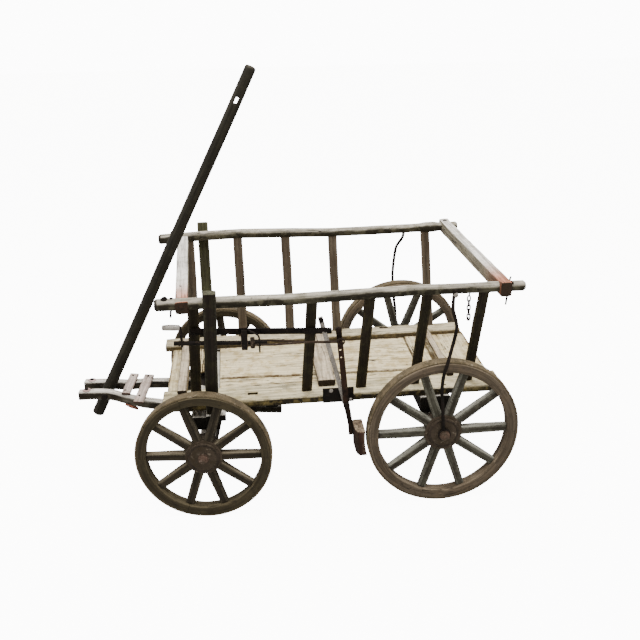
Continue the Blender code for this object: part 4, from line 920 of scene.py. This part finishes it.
def sill(side_name, side):
    """A wide plank: its edges worn round, with the empty mortise of the lost slat."""
    low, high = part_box("sill_" + side_name)
    z = (low.z + high.z) / 2
    inner, outer = (low.y, high.y) if side > 0 else (high.y, FAR_SILL_OUT)
    y = (inner + outer) / 2
    xs = np.linspace(low.x, high.x, 12)
    path = np.stack([xs, np.full(12, y), np.full(12, z)], axis=-1)
    wide = np.tile((0.0, abs(outer - inner) / 2, 0.0), (12, 1))
    deep = np.tile((0.0, 0.0, (high.z - low.z) / 2), (12, 1))
    shape = Shape()
    timber(shape, path, wide, deep, 0.0035, 0.0008, 41 + side, 0.007, 12)
    # The near sill takes the copy darkened as painted shade, the far sill the copy lightened as painted light.
    made = shape.build("worn_sill_" + side_name, "sill" if side > 0 else "lit_far_sill", "bed",
                       "sill_" + side_name)
    lost = 0.749 - (1 if side > 0 else 4) * 0.169 - side * 0.009
    hole = cutter_box(from_axle(lost - 0.002, side * 0.236, high.z - 0.004), (0.0156, 0, 0), (0, 0.0072, 0),
                      (0, 0, 0.012))
    bored(made, [hole])


def plank(name, node, finish, seed, flats=14):
    """A floor plank: flat timber with rounded arrises and shallow hollows worn along its grain."""
    shape = Shape()
    path, wide, deep = crooked(*stick_of(node), 0.0, seed, 7)
    timber(shape, path, wide, deep, 0.0022, 0.0009, seed, 0.007, flats)
    return shape.build(name, finish, "bed", node)


def broken_board():
    """The short broken board: strips side by side, each ending at its own length like torn fibres."""
    low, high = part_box("board_broken")
    shape = Shape()
    count = 9
    edges = np.linspace(low.x + 0.0004, high.x - 0.0004, count + 1)
    torn = np.array((-0.017, -0.008, 0.004, 0.009, -0.002, 0.002, 0.003, -0.006, -0.013))
    start = -0.176
    for i in range(count):
        x = (edges[i] + edges[i + 1]) / 2
        half = (edges[i + 1] - edges[i]) / 2 + 0.0003
        first = start if x < REAR_X + 0.7335 else low.y + 0.0003
        ys = np.linspace(first, torn[i], 5)
        zs = (low.z + high.z) / 2
        path = np.stack([np.full(5, x), ys, np.full(5, zs)], axis=-1)
        taper = np.array((1, 1, 1, 0.95, 0.35))[:, None]
        timber(shape, path, np.array((half, 0, 0)) * (0.4 + 0.6 * taper),
               np.array((0, 0, (high.z - low.z) / 2)) * taper, 0.0012, 0.0004, 70 + i, 0.008, 2)
    shape.build("torn_board", "floor", "bed", "board_broken")


def bed():
    for side_name, side in SIDES:
        rail(side_name, side)
        sill(side_name, side)
    plank("long_plank_left", "plank_left", "floor", 51)
    plank("long_plank_right", "plank_right", "floor", 52, flats=30)
    for i, node in enumerate(("board_axle", "board_rear", "board_front")):
        plank("across_" + node, node, "floor", 60 + i)
    broken_board()
    for i, node in enumerate(("batten_front", "batten_middle", "batten_rear")):
        plain_timber(node, "batten", "bed", 0.0028, 0.0008, 0.0006, 80 + i)
    for k in range(1, 7):
        for side_name, side in SIDES:
            node = "slat_%s_%d" % (side_name, k)
            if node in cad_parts:
                # Near slats take the copy darkened as painted shade, far slats the copy lightened as painted
                # light.
                finish = "slat" if side > 0 else "lit_far_slat"
                plain_timber(node, finish, "bed", 0.003, 0.0008, 0.001, 90 + k * 2 + (side > 0))
    for node in ("crossboard_front", "crossboard_rear"):
        plain_timber(node, "cross", "bed", 0.004, 0.001, 0.0006, 110 + (node == "crossboard_rear"))
    for side_name, side in SIDES:
        # The near stake takes the copy darkened as painted shade, the far stake the copy lightened as painted
        # light.
        plain_timber("stake_" + side_name, "stake" if side > 0 else "lit_far_stake", "bed", 0.0045, 0.0009,
                     0.0006, 120 + side)
    front = plain_timber("front_bolster", "carriage", "bed", 0.003, 0.0008, 0.0002, 130, low=0.29)
    rear = Shape()
    low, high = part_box("rear_axle_beam")
    half = (high.y - low.y) / 2
    for z0, z1, x0, x1, seed in ((0.2, 0.2613, -0.026, 0.026, 131), (0.2617, 0.317, -0.04, 0.055, 132)):
        ends = [from_axle((x0 + x1) / 2, y, (z0 + z1) / 2) for y in (-half, 0.0, half)]
        timber(rear, ends, np.tile(((x1 - x0) / 2, 0, 0), (3, 1)), np.tile((0, 0, (z1 - z0) / 2), (3, 1)),
               0.004, 0.0009, seed)
    made = rear.build("worn_rear_axle_beam", "carriage", "bed", "rear_axle_beam")
    for timber_cut, x in ((made, REAR_X), (front, KING_X)):
        recess = cutter_box((x, 0, BOLSTER_TOP + 0.01), (0.2, 0, 0), (0, BOLSTER_HALF, 0), (0, 0, 0.01))
        bored(timber_cut, [recess])
    pin = Shape()
    turned(pin, [(0.148, 0.0085), (0.149, 0.0095), (0.3, 0.0095)], (KING_X, 0.0, 0.0), (0, 0, 1), 24, 0.0002,
           3)
    hex_nut(pin, (KING_X, 0.0, 0.1525), (0, 0, 1), 0.017, 0.01)
    pin.build("king_pin_iron", "iron", "bed")


# Carriage
def carriage():
    for i, node in enumerate(("front_axle_beam", "friction_bar")):
        plain_timber(node, "carriage", "carriage", 0.004, 0.001, 0.0004, 140 + i)
    shape = Shape()
    ends = [on_carriage(0.0, y, 0.27225) for y in (-0.2865, 0.0, 0.2865)]
    wide = np.tile(carried(0.045, 0, 0), (3, 1))
    timber(shape, ends, wide, np.tile((0, 0, 0.02175), (3, 1)), 0.005, 0.001, 143)
    shape.build("worn_carriage_bolster", "carriage", "carriage", "carriage_bolster")
    disc = Shape()
    turned(disc, [(0.2935, 0.0105), (0.2935, 0.069), (0.294, 0.07), (0.2957, 0.07), (0.2961, 0.069),
                  (0.2961, 0.0105)], (KING_X, 0.0, 0.0), (0, 0, 1), 64, 0.0001, 2)
    disc.build("turning_plate", "iron", "carriage")
    for side_name, side in SIDES:
        shape = Shape()
        path = smooth_path([on_carriage(x, side * y, z) for x, y, z in ARM_LINE], 0.02)
        wide = np.tile(carried(0, 0.0155, 0), (len(path), 1))
        timber(shape, path, wide, np.tile((0, 0, 0.015), (len(path), 1)), 0.004, 0.001, 150 + side, 0.006, 8)
        shape.build("worn_arm_" + side_name, "carriage", "carriage", "arm_" + side_name)
    split = Shape()
    ends = [on_carriage(x, y, z) for x, y, z in ((0.289, 0.064, 0.2345), (0.27, 0.07, 0.229),
                                                 (0.246, 0.078, 0.2235))]
    timber(split, ends, np.tile((0, 0.0085, 0), (3, 1)),
           np.array(((0, 0, 0.003), (0, 0, 0.0055), (0, 0, 0.003))), 0.0012, 0.0022, 158, 0.003, 6)
    split.build("arm_splinter", "split", "carriage")
    for i, node in enumerate(("plate_front", "plate_rear")):
        plain_timber(node, "plate", "carriage", 0.0022, 0.0005, 0.0003, 155 + i)
    tow_pole()


def tow_pole():
    """A long peeled pole that narrows upwards, with a rounded head and a slot cut near the top."""
    foot = on_carriage(*POLE_PIN)
    up = carried(-math.sin(POLE_LEAN), 0, math.cos(POLE_LEAN))
    side = carried(0, 1, 0)
    front = np.cross(side, up)
    t = np.concatenate([[-0.095, -0.0946, -0.0935], np.linspace(-0.09, 1.153, 200),
                        [1.158, 1.1612, 1.163, 1.1638]])
    radius = np.interp(t, (-0.095, 0.0, 1.158), (0.0193, 0.0193, 0.0172))
    radius[:3] = (0.0165, 0.0182, 0.0191)
    radius[-4:] = (0.0168, 0.0152, 0.0126, 0.008)
    angle = np.linspace(0, 2 * np.pi, 28, endpoint=False)
    square = 1 + 0.035 * np.cos(4 * angle)
    grain = round_grain(t[:, None], angle, radius[:, None])
    full = radius[:, None] * square[None] * 0.985 + noise(grain * (7, 70, 70), 61) * 0.0006 - 0.0004
    rows = (foot + up * t[:, None, None] + side * (full * np.cos(angle))[..., None] + front
            * (full * np.sin(angle))[..., None])
    made = Shape().grid(rows, grain, 0.0).build("worn_tow_pole", "pole", "pole", "tow_pole")
    slot = cutter_box(foot + up * 1.054, front * 0.0045, side * 0.05, up * 0.012)
    bored(made, [slot])


# Brake, stays and the loose irons
def spindle_height(x):
    return 0.5247 + SPINDLE_SLOPE * x


def strip(shape, points, wide, deep, radius=0.0012, seed=0, step=0.005, flats=4, wear=0.0003):
    """A flat bar: the timber's section with small corners, and one pair of half vectors or one a point."""
    points = np.asarray(points, float)
    wide, deep = (np.broadcast_to(np.asarray(v, float), points.shape) for v in (wide, deep))
    timber(shape, points, wide, deep, radius, wear, seed, step, flats)
    return shape


def rod_cutter(centre, axis, radius, reach):
    """A closed round bar to cut a hole with."""
    shape = Shape()
    turned(shape, [(-reach, radius), (reach, radius)], centre, axis, 20)
    mesh = bpy.data.meshes.new("cutter")
    mesh.from_pydata(np.concatenate(shape.points).tolist(), [], shape.faces)
    made = placed("cutter", mesh)
    outward(mesh)
    return made


def on_guide(x, past):
    """A place on the guide bar's line, so far past the leaning slats' outer faces."""
    z = 0.546 + 0.0622 * x
    return from_axle(x, 0.238 + SLAT_LEAN * (z - 0.3395) + 0.0073 + past, z)


def brake_guide():
    """The flat bar on the slats, its stirrup and hooked rod, and the pale strap down to the lever's stud."""
    bar_shape = Shape()
    points = [on_guide(x, 0.0064) for x in np.linspace(0.3292, 0.7388, 12)]
    strip(bar_shape, points, (0, SLAT_LEAN * 0.011, 0.011), (0, 0.0038, 0), 0.0015, 201, 0.005, 6, 0.0006)
    level = spindle_height(HANGER_X)
    bends = ((0.3245, 0.04), (0.3235, 0.0335), (0.323, 0.015), (0.33, 0.012), (0.35, 0.0118),
             (0.3562, 0.008), (0.3566, -0.006), (0.352, -0.0098), (0.338, -0.0104))
    hanger = smooth_path([from_axle(HANGER_X, y, level + z) for y, z in bends], 0.002)
    run = unit(np.gradient(hanger, axis=0))
    strap = Shape()
    strip(strap, hanger, (0.0098, 0, 0), np.cross(run, (1.0, 0, 0)) * 0.0019, 0.001, 203, 0.003)
    strap.build("hanger_strap", "hanger", "bed")
    strip(bar_shape, [from_axle(HANGER_X, 0.3575, level + z) for z in (0.044, 0.02, -0.018)], (0.0088, 0, 0),
          (0, 0.0016, 0), 0.001, 204)
    bar(bar_shape, [from_axle(*v) for v in ((0.577, 0.33, 0.596), (0.566, 0.356, 0.595),
                                            (0.552, 0.372, 0.593), (0.5445, 0.373, 0.586),
                                            (0.5425, 0.373, 0.57), (0.543, 0.373, 0.536))], 0.0024, 10, 0.003,
        6, 0.0002)
    studs(bar_shape, [(on_guide(x, 0.0102), (0, 1, -0.287), 0.0052) for x in (0.349, 0.413, 0.565, 0.728)])
    bar_shape.build("guide_bar", "iron", "bed", "brake_guide")

    strap = Shape()
    foot = from_axle(PIVOT[0], 0.3145, PIVOT[1] - 0.01)
    top = on_guide(0.363, 0.0082)
    top[2] = 0.613
    along = unit(top - foot)
    side = unit(np.cross((0, 1.0, 0), along))
    strip(strap, [foot + (top - foot) * t for t in np.linspace(0, 1, 9)], side * 0.0073, np.cross(along, side)
          * 0.0019, 0.0012, 205, 0.005, 5)
    made = strap.build("pale_strap", "pale_iron", "bed")
    bored(made, [rod_cutter(from_axle(PIVOT[0], 0.3145, PIVOT[1]), (0, 1, 0), 0.0066, 0.02)])
    bolt = Shape()
    turned(bolt, [(-0.006, 0.0045), (0.0022, 0.0045), (0.0024, 0.0078), (0.006, 0.0076), (0.0082, 0.0045)],
           top - along * 0.01, (0, 1, 0), 24, 0.0003, 8)
    bolt.build("strap_bolt", "iron", "bed")


def brake_bracket():
    """The plate on the sill, its pale bolts, and the stepped stud that the lever turns on."""
    shape = Shape()
    strip(shape, [from_axle(x, 0.2883, 0.3415) for x in (0.2622, 0.3, 0.34, 0.3573)], (0, 0, 0.0243),
          (0, 0.0019, 0), 0.0012, 211, 0.006, 8)
    pivot = from_axle(PIVOT[0], 0.0, PIVOT[1])
    turned(shape, [(0.2895, 0.011), (0.3118, 0.011), (0.3119, 0.0058), (0.3365, 0.0058), (0.3366, 0.0088),
                   (0.3372, 0.01), (0.3412, 0.01), (0.3424, 0.0086), (0.3426, 0.005), (0.3446, 0.0046)],
           pivot, (0, 1, 0), 32, 0.0002, 5)
    shape.build("stud_bracket", "iron", "bed", "brake_bracket")
    bolts = Shape()
    studs(bolts, [(from_axle(0.3318, 0.2903, 0.3575), (0, 1, 0), 0.0066),
                  (from_axle(0.272, 0.2903, 0.325), (0, 1, 0), 0.005)], 18)
    bolts.build("bracket_bolts", "pale_iron", "bed")


def brake_lever():
    """The bent flat lever with its row of holes, the pin at its eye, and the billet that it presses."""
    shape = Shape()
    line = [(0.3111, 0.5772, 0.008), (0.3108, 0.5745, 0.0088), (0.3056, 0.515, 0.0089), (0.3, 0.45, 0.0089),
            (0.2952, 0.389, 0.0089), (0.2905, 0.3285, 0.0092), (0.2862, 0.306, 0.0088),
            (0.2808, 0.274, 0.008), (0.2796, 0.2625, 0.0074), (0.2786, 0.244, 0.0073),
            (0.2779, 0.2268, 0.007)]
    points = np.array([from_axle(x, 0.333, z) for x, z, _ in line])
    wide = np.array([(w, 0.0, 0.0) for _, _, w in line])
    strip(shape, points, wide, (0, 0.0029, 0), 0.0011, 221, 0.005, 4)
    lever = shape.build("flat_lever", "lever", "lever", "brake_lever")
    holes = ((*PIVOT, 0.0062), (0.3068, 0.5102, 0.0034), (0.3043, 0.486, 0.003), (0.308, 0.527, 0.0026))
    bored(lever, [rod_cutter(from_axle(x, 0.333, z), (0, 1, 0), radius, 0.02) for x, z, radius in holes])
    pin = Shape()
    turned(pin, [(0.3318, 0.0039), (0.3545, 0.0039), (0.3551, 0.0032)],
           from_axle(ROD_EYE[0], 0.0, ROD_EYE[1]), (0, 1, 0), 20, 0.0001, 6)
    turned(pin, [(0.3358, 0.0066), (0.3366, 0.0072), (0.3382, 0.0064), (0.339, 0.003)],
           from_axle(0.3092, 0.0, 0.56), (0, 1, 0), 24, 0.0002, 7)
    turned(pin, [(0.33, 0.0085), (0.3304, 0.0092), (0.3372, 0.0094), (0.339, 0.008), (0.3396, 0.004)],
           from_axle(0.3108, 0.0, 0.574), (0, 1, 0), 28, 0.0003, 9)
    pin.build("lever_pin", "lever", "lever")
    brake_block()


def brake_block():
    """An upright billet: a rectangle in plan, with one worn corner and a hollow rear face.

    The hollow follows the tyre's circle 6.5 mm outside it, and long noise along the grain wears the other
    faces.
    """
    heights = np.concatenate([[0.1794, 0.1797, 0.1806, 0.182], np.linspace(0.186, 0.254, 26),
                              [0.258, 0.2606, 0.2617, 0.262]])
    pull = np.zeros(len(heights))
    pull[:4] = (0.0022, 0.0012, 0.0005, 0.0001)
    pull[-4:] = (0.0003, 0.001, 0.0022, 0.0042)
    hollow = np.sqrt(0.2415 ** 2 - (heights - 0.235) ** 2) + 0.0002
    face = 0.268 + (0.2715 - 0.268) * (heights - 0.179) / 0.0835
    plan = []
    for y in np.linspace(0.3022, 0.3838, 14):
        plan.append((0.0, 0.0, y, 0.0))
    plan += [(0.15, 0.0, 0.3849, 1.0), (0.45, 0.0, 0.385, 0.2)]
    for t in np.linspace(0.0, 1.0, 9):
        plan.append((1.0, -0.0112 * (1 - t) ** 2 - 0.003 * t * (1 - t), 0.385 - 0.03 * t ** 1.5,
                     1.0 - abs(2 * t - 1)))
    for y in np.linspace(0.35, 0.3045, 8):
        plan.append((1.0, 0.0, y, 0.1))
    plan += [(1.0, -0.0012, 0.302, 1.0), (1.0, -0.004, 0.3002, 0.8), (0.5, 0.0, 0.3, 0.1),
             (0.1, 0.0, 0.3006, 1.0)]
    share, shift, y, near = np.array(plan).T
    x = hollow[:, None] + (face - hollow)[:, None] * share[None] + shift[None]
    y = np.broadcast_to(y[None], x.shape)
    z = np.broadcast_to(heights[:, None], x.shape).copy()
    middle_x, middle_y = 0.2545, 0.3425
    away = np.stack([np.sign(x - middle_x) * (share[None] > 0.3), np.sign(y - middle_y)
                     * (np.abs(y - middle_y) > 0.03)], axis=-1)
    grain = np.stack([z, x * 1.0, y * 1.0], axis=-1)
    push = (noise(grain * (16, 170, 170), 233) - 1.0) * 0.0007
    x = x + away[..., 0] * (push - pull[:, None])
    y = y + away[..., 1] * (push - pull[:, None])
    z[-3:] += (noise(np.stack([x[-3:] * 120, y[-3:] * 120, z[-3:]], axis=-1), 5) - 0.6) * 0.0007
    rows = np.stack([x + REAR_X, y, z], axis=-1)
    edge = np.broadcast_to(near[None], x.shape).copy()
    edge[:3] = 1.0
    edge[-3:] = 1.0
    Shape().grid(rows, grain, edge).build("worn_brake_block", "block", "lever", "brake_block")


def on_crank(along, aside, up):
    """A place in the spindle's own frame, with its crank up, moved to where it rests."""
    slope = math.atan(SPINDLE_SLOPE)
    return from_axle(CRANK_X + along * math.cos(slope) - up * math.sin(slope), SPINDLE_Y + aside,
                     spindle_height(CRANK_X) + along * math.sin(slope) + up * math.cos(slope))


def brake_spindle():
    """A screw whose radius swings with a helix along its thread, the crank arm and its pale grip."""
    shape = Shape()
    ends = (-0.2349, 0.0298)
    along = np.concatenate([[ends[0], ends[0] + 0.001], np.arange(ends[0] + 0.002, ends[1] - 0.001, 0.00155),
                            [ends[1]]])
    angle = np.linspace(0, 2 * np.pi, 14, endpoint=False)
    thread = np.cos(2 * np.pi * along[:, None] / 0.0062 - angle[None]) * 0.00055
    radius = 0.0064 + np.where(along[:, None] < -0.075, thread, 0.0004)
    radius[0] = 0.0052
    radius[-1] = 0.0056
    start = on_crank(0, 0, 0)
    ahead, up = on_crank(1, 0, 0) - start, on_crank(0, 0, 1) - start
    rows = (start + ahead * along[:, None, None] + np.array((0, 1.0, 0)) * (radius * np.cos(angle))[..., None]
            + up * (radius * np.sin(angle))[..., None])
    grain = round_grain(along[:, None], angle, radius)
    shape.grid(rows, grain, 0.0)
    strip(shape, [on_crank(0.006, 0, -0.0105), on_crank(0.0066, 0, 0.0), on_crank(0.009, 0, 0.026),
                  on_crank(0.0118, 0, 0.0515)], (0, 0.0064, 0), ahead * 0.0036, 0.0016, 241)
    turned(shape, [(0.0, 0.0086), (0.0034, 0.0086)], on_crank(0.0125, 0, 0.0), ahead, 6, 0.0, 0)
    shape.build("screw_and_crank", "iron", "crank", "brake_spindle")
    grip = Shape()
    turned(grip, [(0.012, 0.0066), (0.0124, 0.008), (0.02, 0.0084), (0.034, 0.0089), (0.048, 0.0086),
                  (0.059, 0.0078), (0.0612, 0.0064), (0.0618, 0.0035)], on_crank(0, 0, 0.048), ahead, 28,
           0.0005, 12)
    grip.build("crank_grip", "pale_iron", "crank")


def brake_yoke():
    """The nut on the screw, and two rods that close to one and end in an eye round the lever's pin."""
    shape = Shape()
    nut = [from_axle(0.562, SPINDLE_Y + y, spindle_height(0.562) - 0.0005) for y in (-0.0196, 0.0, 0.0196)]
    strip(shape, nut, (0.0066, 0, 0), (0, 0, 0.0106), 0.002, 251, 0.004, 3)
    fork = ((0.564, 0.016), (0.53, 0.016), (0.503, 0.0158), (0.48, 0.012), (0.45, 0.0068), (0.42, 0.002))
    for side in (1, -1):
        line = [from_axle(x, SPINDLE_Y + side * y, spindle_height(x)) for x, y in fork]
        bar(shape, line, 0.0034, 12, 0.005, 5, 0.0003)
    bar(shape, [from_axle(x, SPINDLE_Y, spindle_height(x)) for x in (0.428, 0.39, 0.35, 0.3175)], 0.0037, 12,
        0.005, 6, 0.0003)
    turned(shape, [(-0.0028, 0.0076), (-0.0029, 0.0106), (-0.0018, 0.0119), (0.0018, 0.0119),
                   (0.0029, 0.0106), (0.0028, 0.0076)], from_axle(ROD_EYE[0], SPINDLE_Y, ROD_EYE[1]),
           (0, 1, 0), 32, 0.0002, 7, ring=True)
    shape.build("forked_rod", "rod", "yoke", "brake_yoke")


def stay(side_name, side):
    """A bent round iron from its flat eye on the axle's end up to the rail, and its bolt there."""
    line = [from_axle(x, side * (REAR_TRACK + out), REAR_RADIUS + share * (RAIL_Z - REAR_RADIUS))
            for share, x, out in STAY_LINE[side_name]]
    shape = Shape()
    bar(shape, line, 0.0052, 12, 0.005, 3 + side, 0.0004)
    inner = REAR_TRACK + 0.0247
    turned(shape, [(inner, 0.0108), (inner, 0.0184), (inner + 0.001, 0.0194), (inner + 0.0068, 0.0194),
                   (inner + 0.0078, 0.0184), (inner + 0.0078, 0.0108)], from_axle(0.0, 0.0, REAR_RADIUS),
           (0, side, 0), 40, 0.0003, 5, ring=True)
    shape.build("bent_stay_" + side_name, "iron", "bed", "stay_" + side_name)
    top = from_axle(line[-1][0] - REAR_X, side * 0.356, 0.6725)
    bolt = Shape()
    turned(bolt, [(-0.004, 0.004), (0.0052, 0.0052), (0.0054, 0.0074), (0.008, 0.007), (0.0094, 0.004)], top,
           (0, side, 0), 24, 0.0003, 3)
    bolt.build("stay_bolt_" + side_name, "pale_iron", "bed")


def chain():
    """Five links of bent wire, each an oval turned a quarter from the one above, and two hooks."""
    shape = Shape()
    top = from_axle(-0.073, 0.34, 0.665)
    bar(shape, [top + np.array(v) for v in ((0, -0.004, 0.01), (0, 0.003, 0.006), (0, 0.0055, -0.001),
                                            (0, 0.001, -0.0055), (0, -0.004, -0.004))], 0.0022, 8, 0.0015, 3)
    angle = np.linspace(0, 2 * np.pi, 28, endpoint=False)
    z = 0.66
    for i in range(5):
        oval = np.stack([np.cos(angle) * 0.0044, np.zeros(28), np.sin(angle) * 0.0066 + np.sign(np.sin(angle))
                         * 0.0022], axis=-1)
        if i % 2:
            oval = oval[:, (1, 0, 2)]
        centre = from_axle(-0.073 - 0.0002 * i, 0.3405 + 0.0001 * i, z - 0.0088 - 0.0138 * i)
        bar(shape, centre + oval, 0.0022, 8, 0.002, i, 0.0001, False, ring=True)
    low = from_axle(-0.074, 0.3409, 0.5905)
    bar(shape, [low + np.array(v) for v in ((0.0, 0, 0.0025), (0.003, 0, 0.0), (0.0036, 0, -0.004),
                                            (0.0005, 0, -0.0075), (-0.003, 0, -0.0055),
                                            (-0.0032, 0, -0.001))], 0.002, 8, 0.0015, 4)
    shape.build("hanging_chain", "iron", "bed")


def loose_irons():
    """Nails, pins and bolts driven through the rails and the crossboards."""
    shape = Shape()
    pins = (((0.785, 0.3367, 0.665), (0.7868, 0.3369, 0.655), (0.7878, 0.3365, 0.6435)),
            ((-0.188, 0.34, 0.663), (-0.1868, 0.3402, 0.645), (-0.1845, 0.3405, 0.6262)),
            ((0.82, -0.3367, 0.69), (0.8202, -0.3367, 0.7035), (0.817, -0.3367, 0.7075)),
            ((-0.193, 0.338, 0.69), (-0.194, 0.3382, 0.703), (-0.1965, 0.3384, 0.712)),
            ((-0.19, 0.342, 0.69), (-0.192, 0.347, 0.7), (-0.1975, 0.3495, 0.6985), (-0.201, 0.349, 0.693)))
    for i, line in enumerate(pins):
        bar(shape, [from_axle(*p) for p in line], 0.0029, 8, 0.002, 20 + i)
    turned(shape, [(0.6975, 0.011), (0.699, 0.0112), (0.7006, 0.0106)], from_axle(0.802, 0.3367, 0.0),
           (0, 0, 1), 24, 0.0004, 3)
    hex_nut(shape, from_axle(0.801, 0.3365, 0.7004), (0.08, 0, 1), 0.0072, 0.005, 2)
    turned(shape, [(0.699, 0.0058), (0.701, 0.0056), (0.7022, 0.003)], from_axle(0.782, 0.336, 0.0),
           (0, 0, 1), 16, 0.0003, 4)
    turned(shape, [(0.702, 0.0085), (0.705, 0.0082), (0.7062, 0.004)], from_axle(-0.162, -0.3367, 0.0),
           (0, 0, 1), 20, 0.0004, 6)
    shape.build("rail_nails", "iron", "bed")


def nail(shape, x, y, z, radius=0.0028):
    """A flat nail head let into a board's top."""
    turned(shape, [(-0.001, radius), (0.0003, radius), (0.0006, radius * 0.7)], from_axle(x, y, z), (0, 0, 1),
           10)


def board_nails():
    """Nail heads: two at each end of a board where it crosses what carries it."""
    shape = Shape()
    for y in (-0.165, -0.06, 0.06, 0.165):
        for x in (-0.03, 0.004, -0.12, -0.172):
            nail(shape, x + 0.004 * math.sin(y * 90), y, FLOOR_TOP - 0.0004)
        for x in (0.046, 0.655):
            nail(shape, x + 0.006 * math.sin(y * 130), y, FLOOR_TOP - 0.0004)
    for x, top in ((0.785, 0.352), (0.337, 0.3615), (-0.06, 0.3525)):
        for y in (-0.193, -0.183, 0.186, 0.196):
            nail(shape, x + 0.5 * (abs(y) - 0.19), y, top - 0.0006, 0.0025)
    for side in (1, -1):
        for x in (-0.03, 0.03, 0.68, 0.706):
            nail(shape, x, side * 0.262, SILL_TOP - 0.0004, 0.0038)
    shape.build("board_nails", "iron", "bed")


def carriage_irons():
    """Washers and nuts on the arms' tips, nails through the cross plates, and the pole's pin."""
    washers = Shape()
    tops = Shape()
    for side in (1, -1):
        spot = on_carriage(0.4175, side * 0.038, 0.2752)
        turned(washers, [(0.0, 0.0132), (0.0016, 0.0134), (0.0024, 0.0126)], spot, (0, 0, 1), 30, 0.0004, 3)
        hex_nut(tops, spot + (0, 0, 0.0024), (0, 0, 1), 0.0062, 0.0042, 3)
    for x, y in ((0.287, -0.074), (0.2905, 0.04), (0.236, -0.076), (0.2395, 0.072)):
        turned(tops, [(0.0, 0.004), (0.0012, 0.0038), (0.0018, 0.002)], on_carriage(x, y, plate_top(x)),
               (0, 0, 1), 12)
    washers.build("tip_washers", "pink_iron", "carriage")
    tops.build("tip_nuts", "iron", "carriage")
    pin = Shape()
    axis = turn_to(np.array((0.0, 1.0, 0.0)), 0.0, STEER)
    turned(pin, [(-0.061, 0.007), (-0.0606, 0.0098), (-0.0552, 0.0103), (-0.0551, 0.0058), (0.0551, 0.0058),
                 (0.0552, 0.0103), (0.0606, 0.0098), (0.061, 0.007)], on_carriage(*POLE_PIN), axis, 28,
           0.0002, 2)
    pin.build("pole_pin_iron", "iron", "carriage", "pole_pin")


def plate_top(x):
    """Height of the cross plates' top face over the sloping arms."""
    row_x, _, row_z = zip(*ARM_LINE[3::-1])
    return float(np.interp(x, row_x, row_z)) + 0.015 + 0.0082


def brake():
    brake_guide()
    brake_bracket()
    brake_lever()
    brake_spindle()
    brake_yoke()


def irons():
    for side_name, side in SIDES:
        stay(side_name, side)
    chain()
    loose_irons()
    board_nails()
    carriage_irons()


def camera():
    data = bpy.data.cameras.new("photo_camera")
    made = placed("photo_camera", data)
    columns = Matrix((CAMERA_RIGHT, CAMERA_UP, [-c for c in CAMERA_AHEAD])).transposed()
    made.matrix_world = Matrix.Translation(from_axle(*CAMERA_PLACE).tolist()) @ columns.to_4x4()
    data.lens = CAMERA_LENS
    data.sensor_width = 36.0
    data.shift_x, data.shift_y = CAMERA_SHIFT
    data.clip_start = 0.05
    bpy.context.scene.camera = made


def studio():
    """A pale floor and sky that the camera sees as white, a large soft key light, and a softer one behind."""
    mesh = bpy.data.meshes.new("floor")
    mesh.from_pydata([(-14, -14, 0), (14, -14, 0), (14, 14, 0), (-14, 14, 0)], [], [(0, 1, 2, 3)])
    ground = placed("floor", mesh)
    pale = bpy.data.materials.new("pale_floor")
    pale.use_nodes = True
    shader = pale.node_tree.nodes["Principled BSDF"]
    shader.inputs["Base Color"].default_value = (0.52, 0.52, 0.51, 1)
    shader.inputs["Roughness"].default_value = 0.95
    shader.inputs["Emission Color"].default_value = (1.0, 1.0, 0.99, 1)
    rays = pale.node_tree.nodes.new("ShaderNodeLightPath")
    glow = pale.node_tree.nodes.new("ShaderNodeMath")
    glow.operation = "MULTIPLY"
    glow.inputs[1].default_value = FLOOR_GLOW
    pale.node_tree.links.new(rays.outputs["Is Camera Ray"], glow.inputs[0])
    pale.node_tree.links.new(glow.outputs[0], shader.inputs["Emission Strength"])
    mesh.materials.append(pale)
    world = bpy.data.worlds.new("sky")
    world.use_nodes = True
    world.node_tree.nodes["Background"].inputs["Color"].default_value = (1.0, 1.0, 1.0, 1)
    rays = world.node_tree.nodes.new("ShaderNodeLightPath")
    level = world.node_tree.nodes.new("ShaderNodeMapRange")
    level.inputs["To Min"].default_value = SKY_LIGHT
    level.inputs["To Max"].default_value = SKY_SEEN
    world.node_tree.links.new(rays.outputs["Is Camera Ray"], level.inputs["Value"])
    world.node_tree.links.new(level.outputs["Result"], world.node_tree.nodes["Background"].inputs["Strength"])
    bpy.context.scene.world = world
    for name, place, power in (("key", (-0.4, 0.8, 3.4), 130.0), ("rim", (1.2, -1.2, 3.2), 60.0)):
        light = bpy.data.lights.new(name, "AREA")
        light.size = 2.0
        light.energy = power
        made = placed(name, light)
        made.location = place
        made.rotation_euler = (Vector((0, 0, 0.4)) - Vector(place)).to_track_quat("-Z", "Y").to_euler()


def main():
    camera()
    studio()
    wheels()
    bed()
    carriage()
    brake()
    irons()


main()
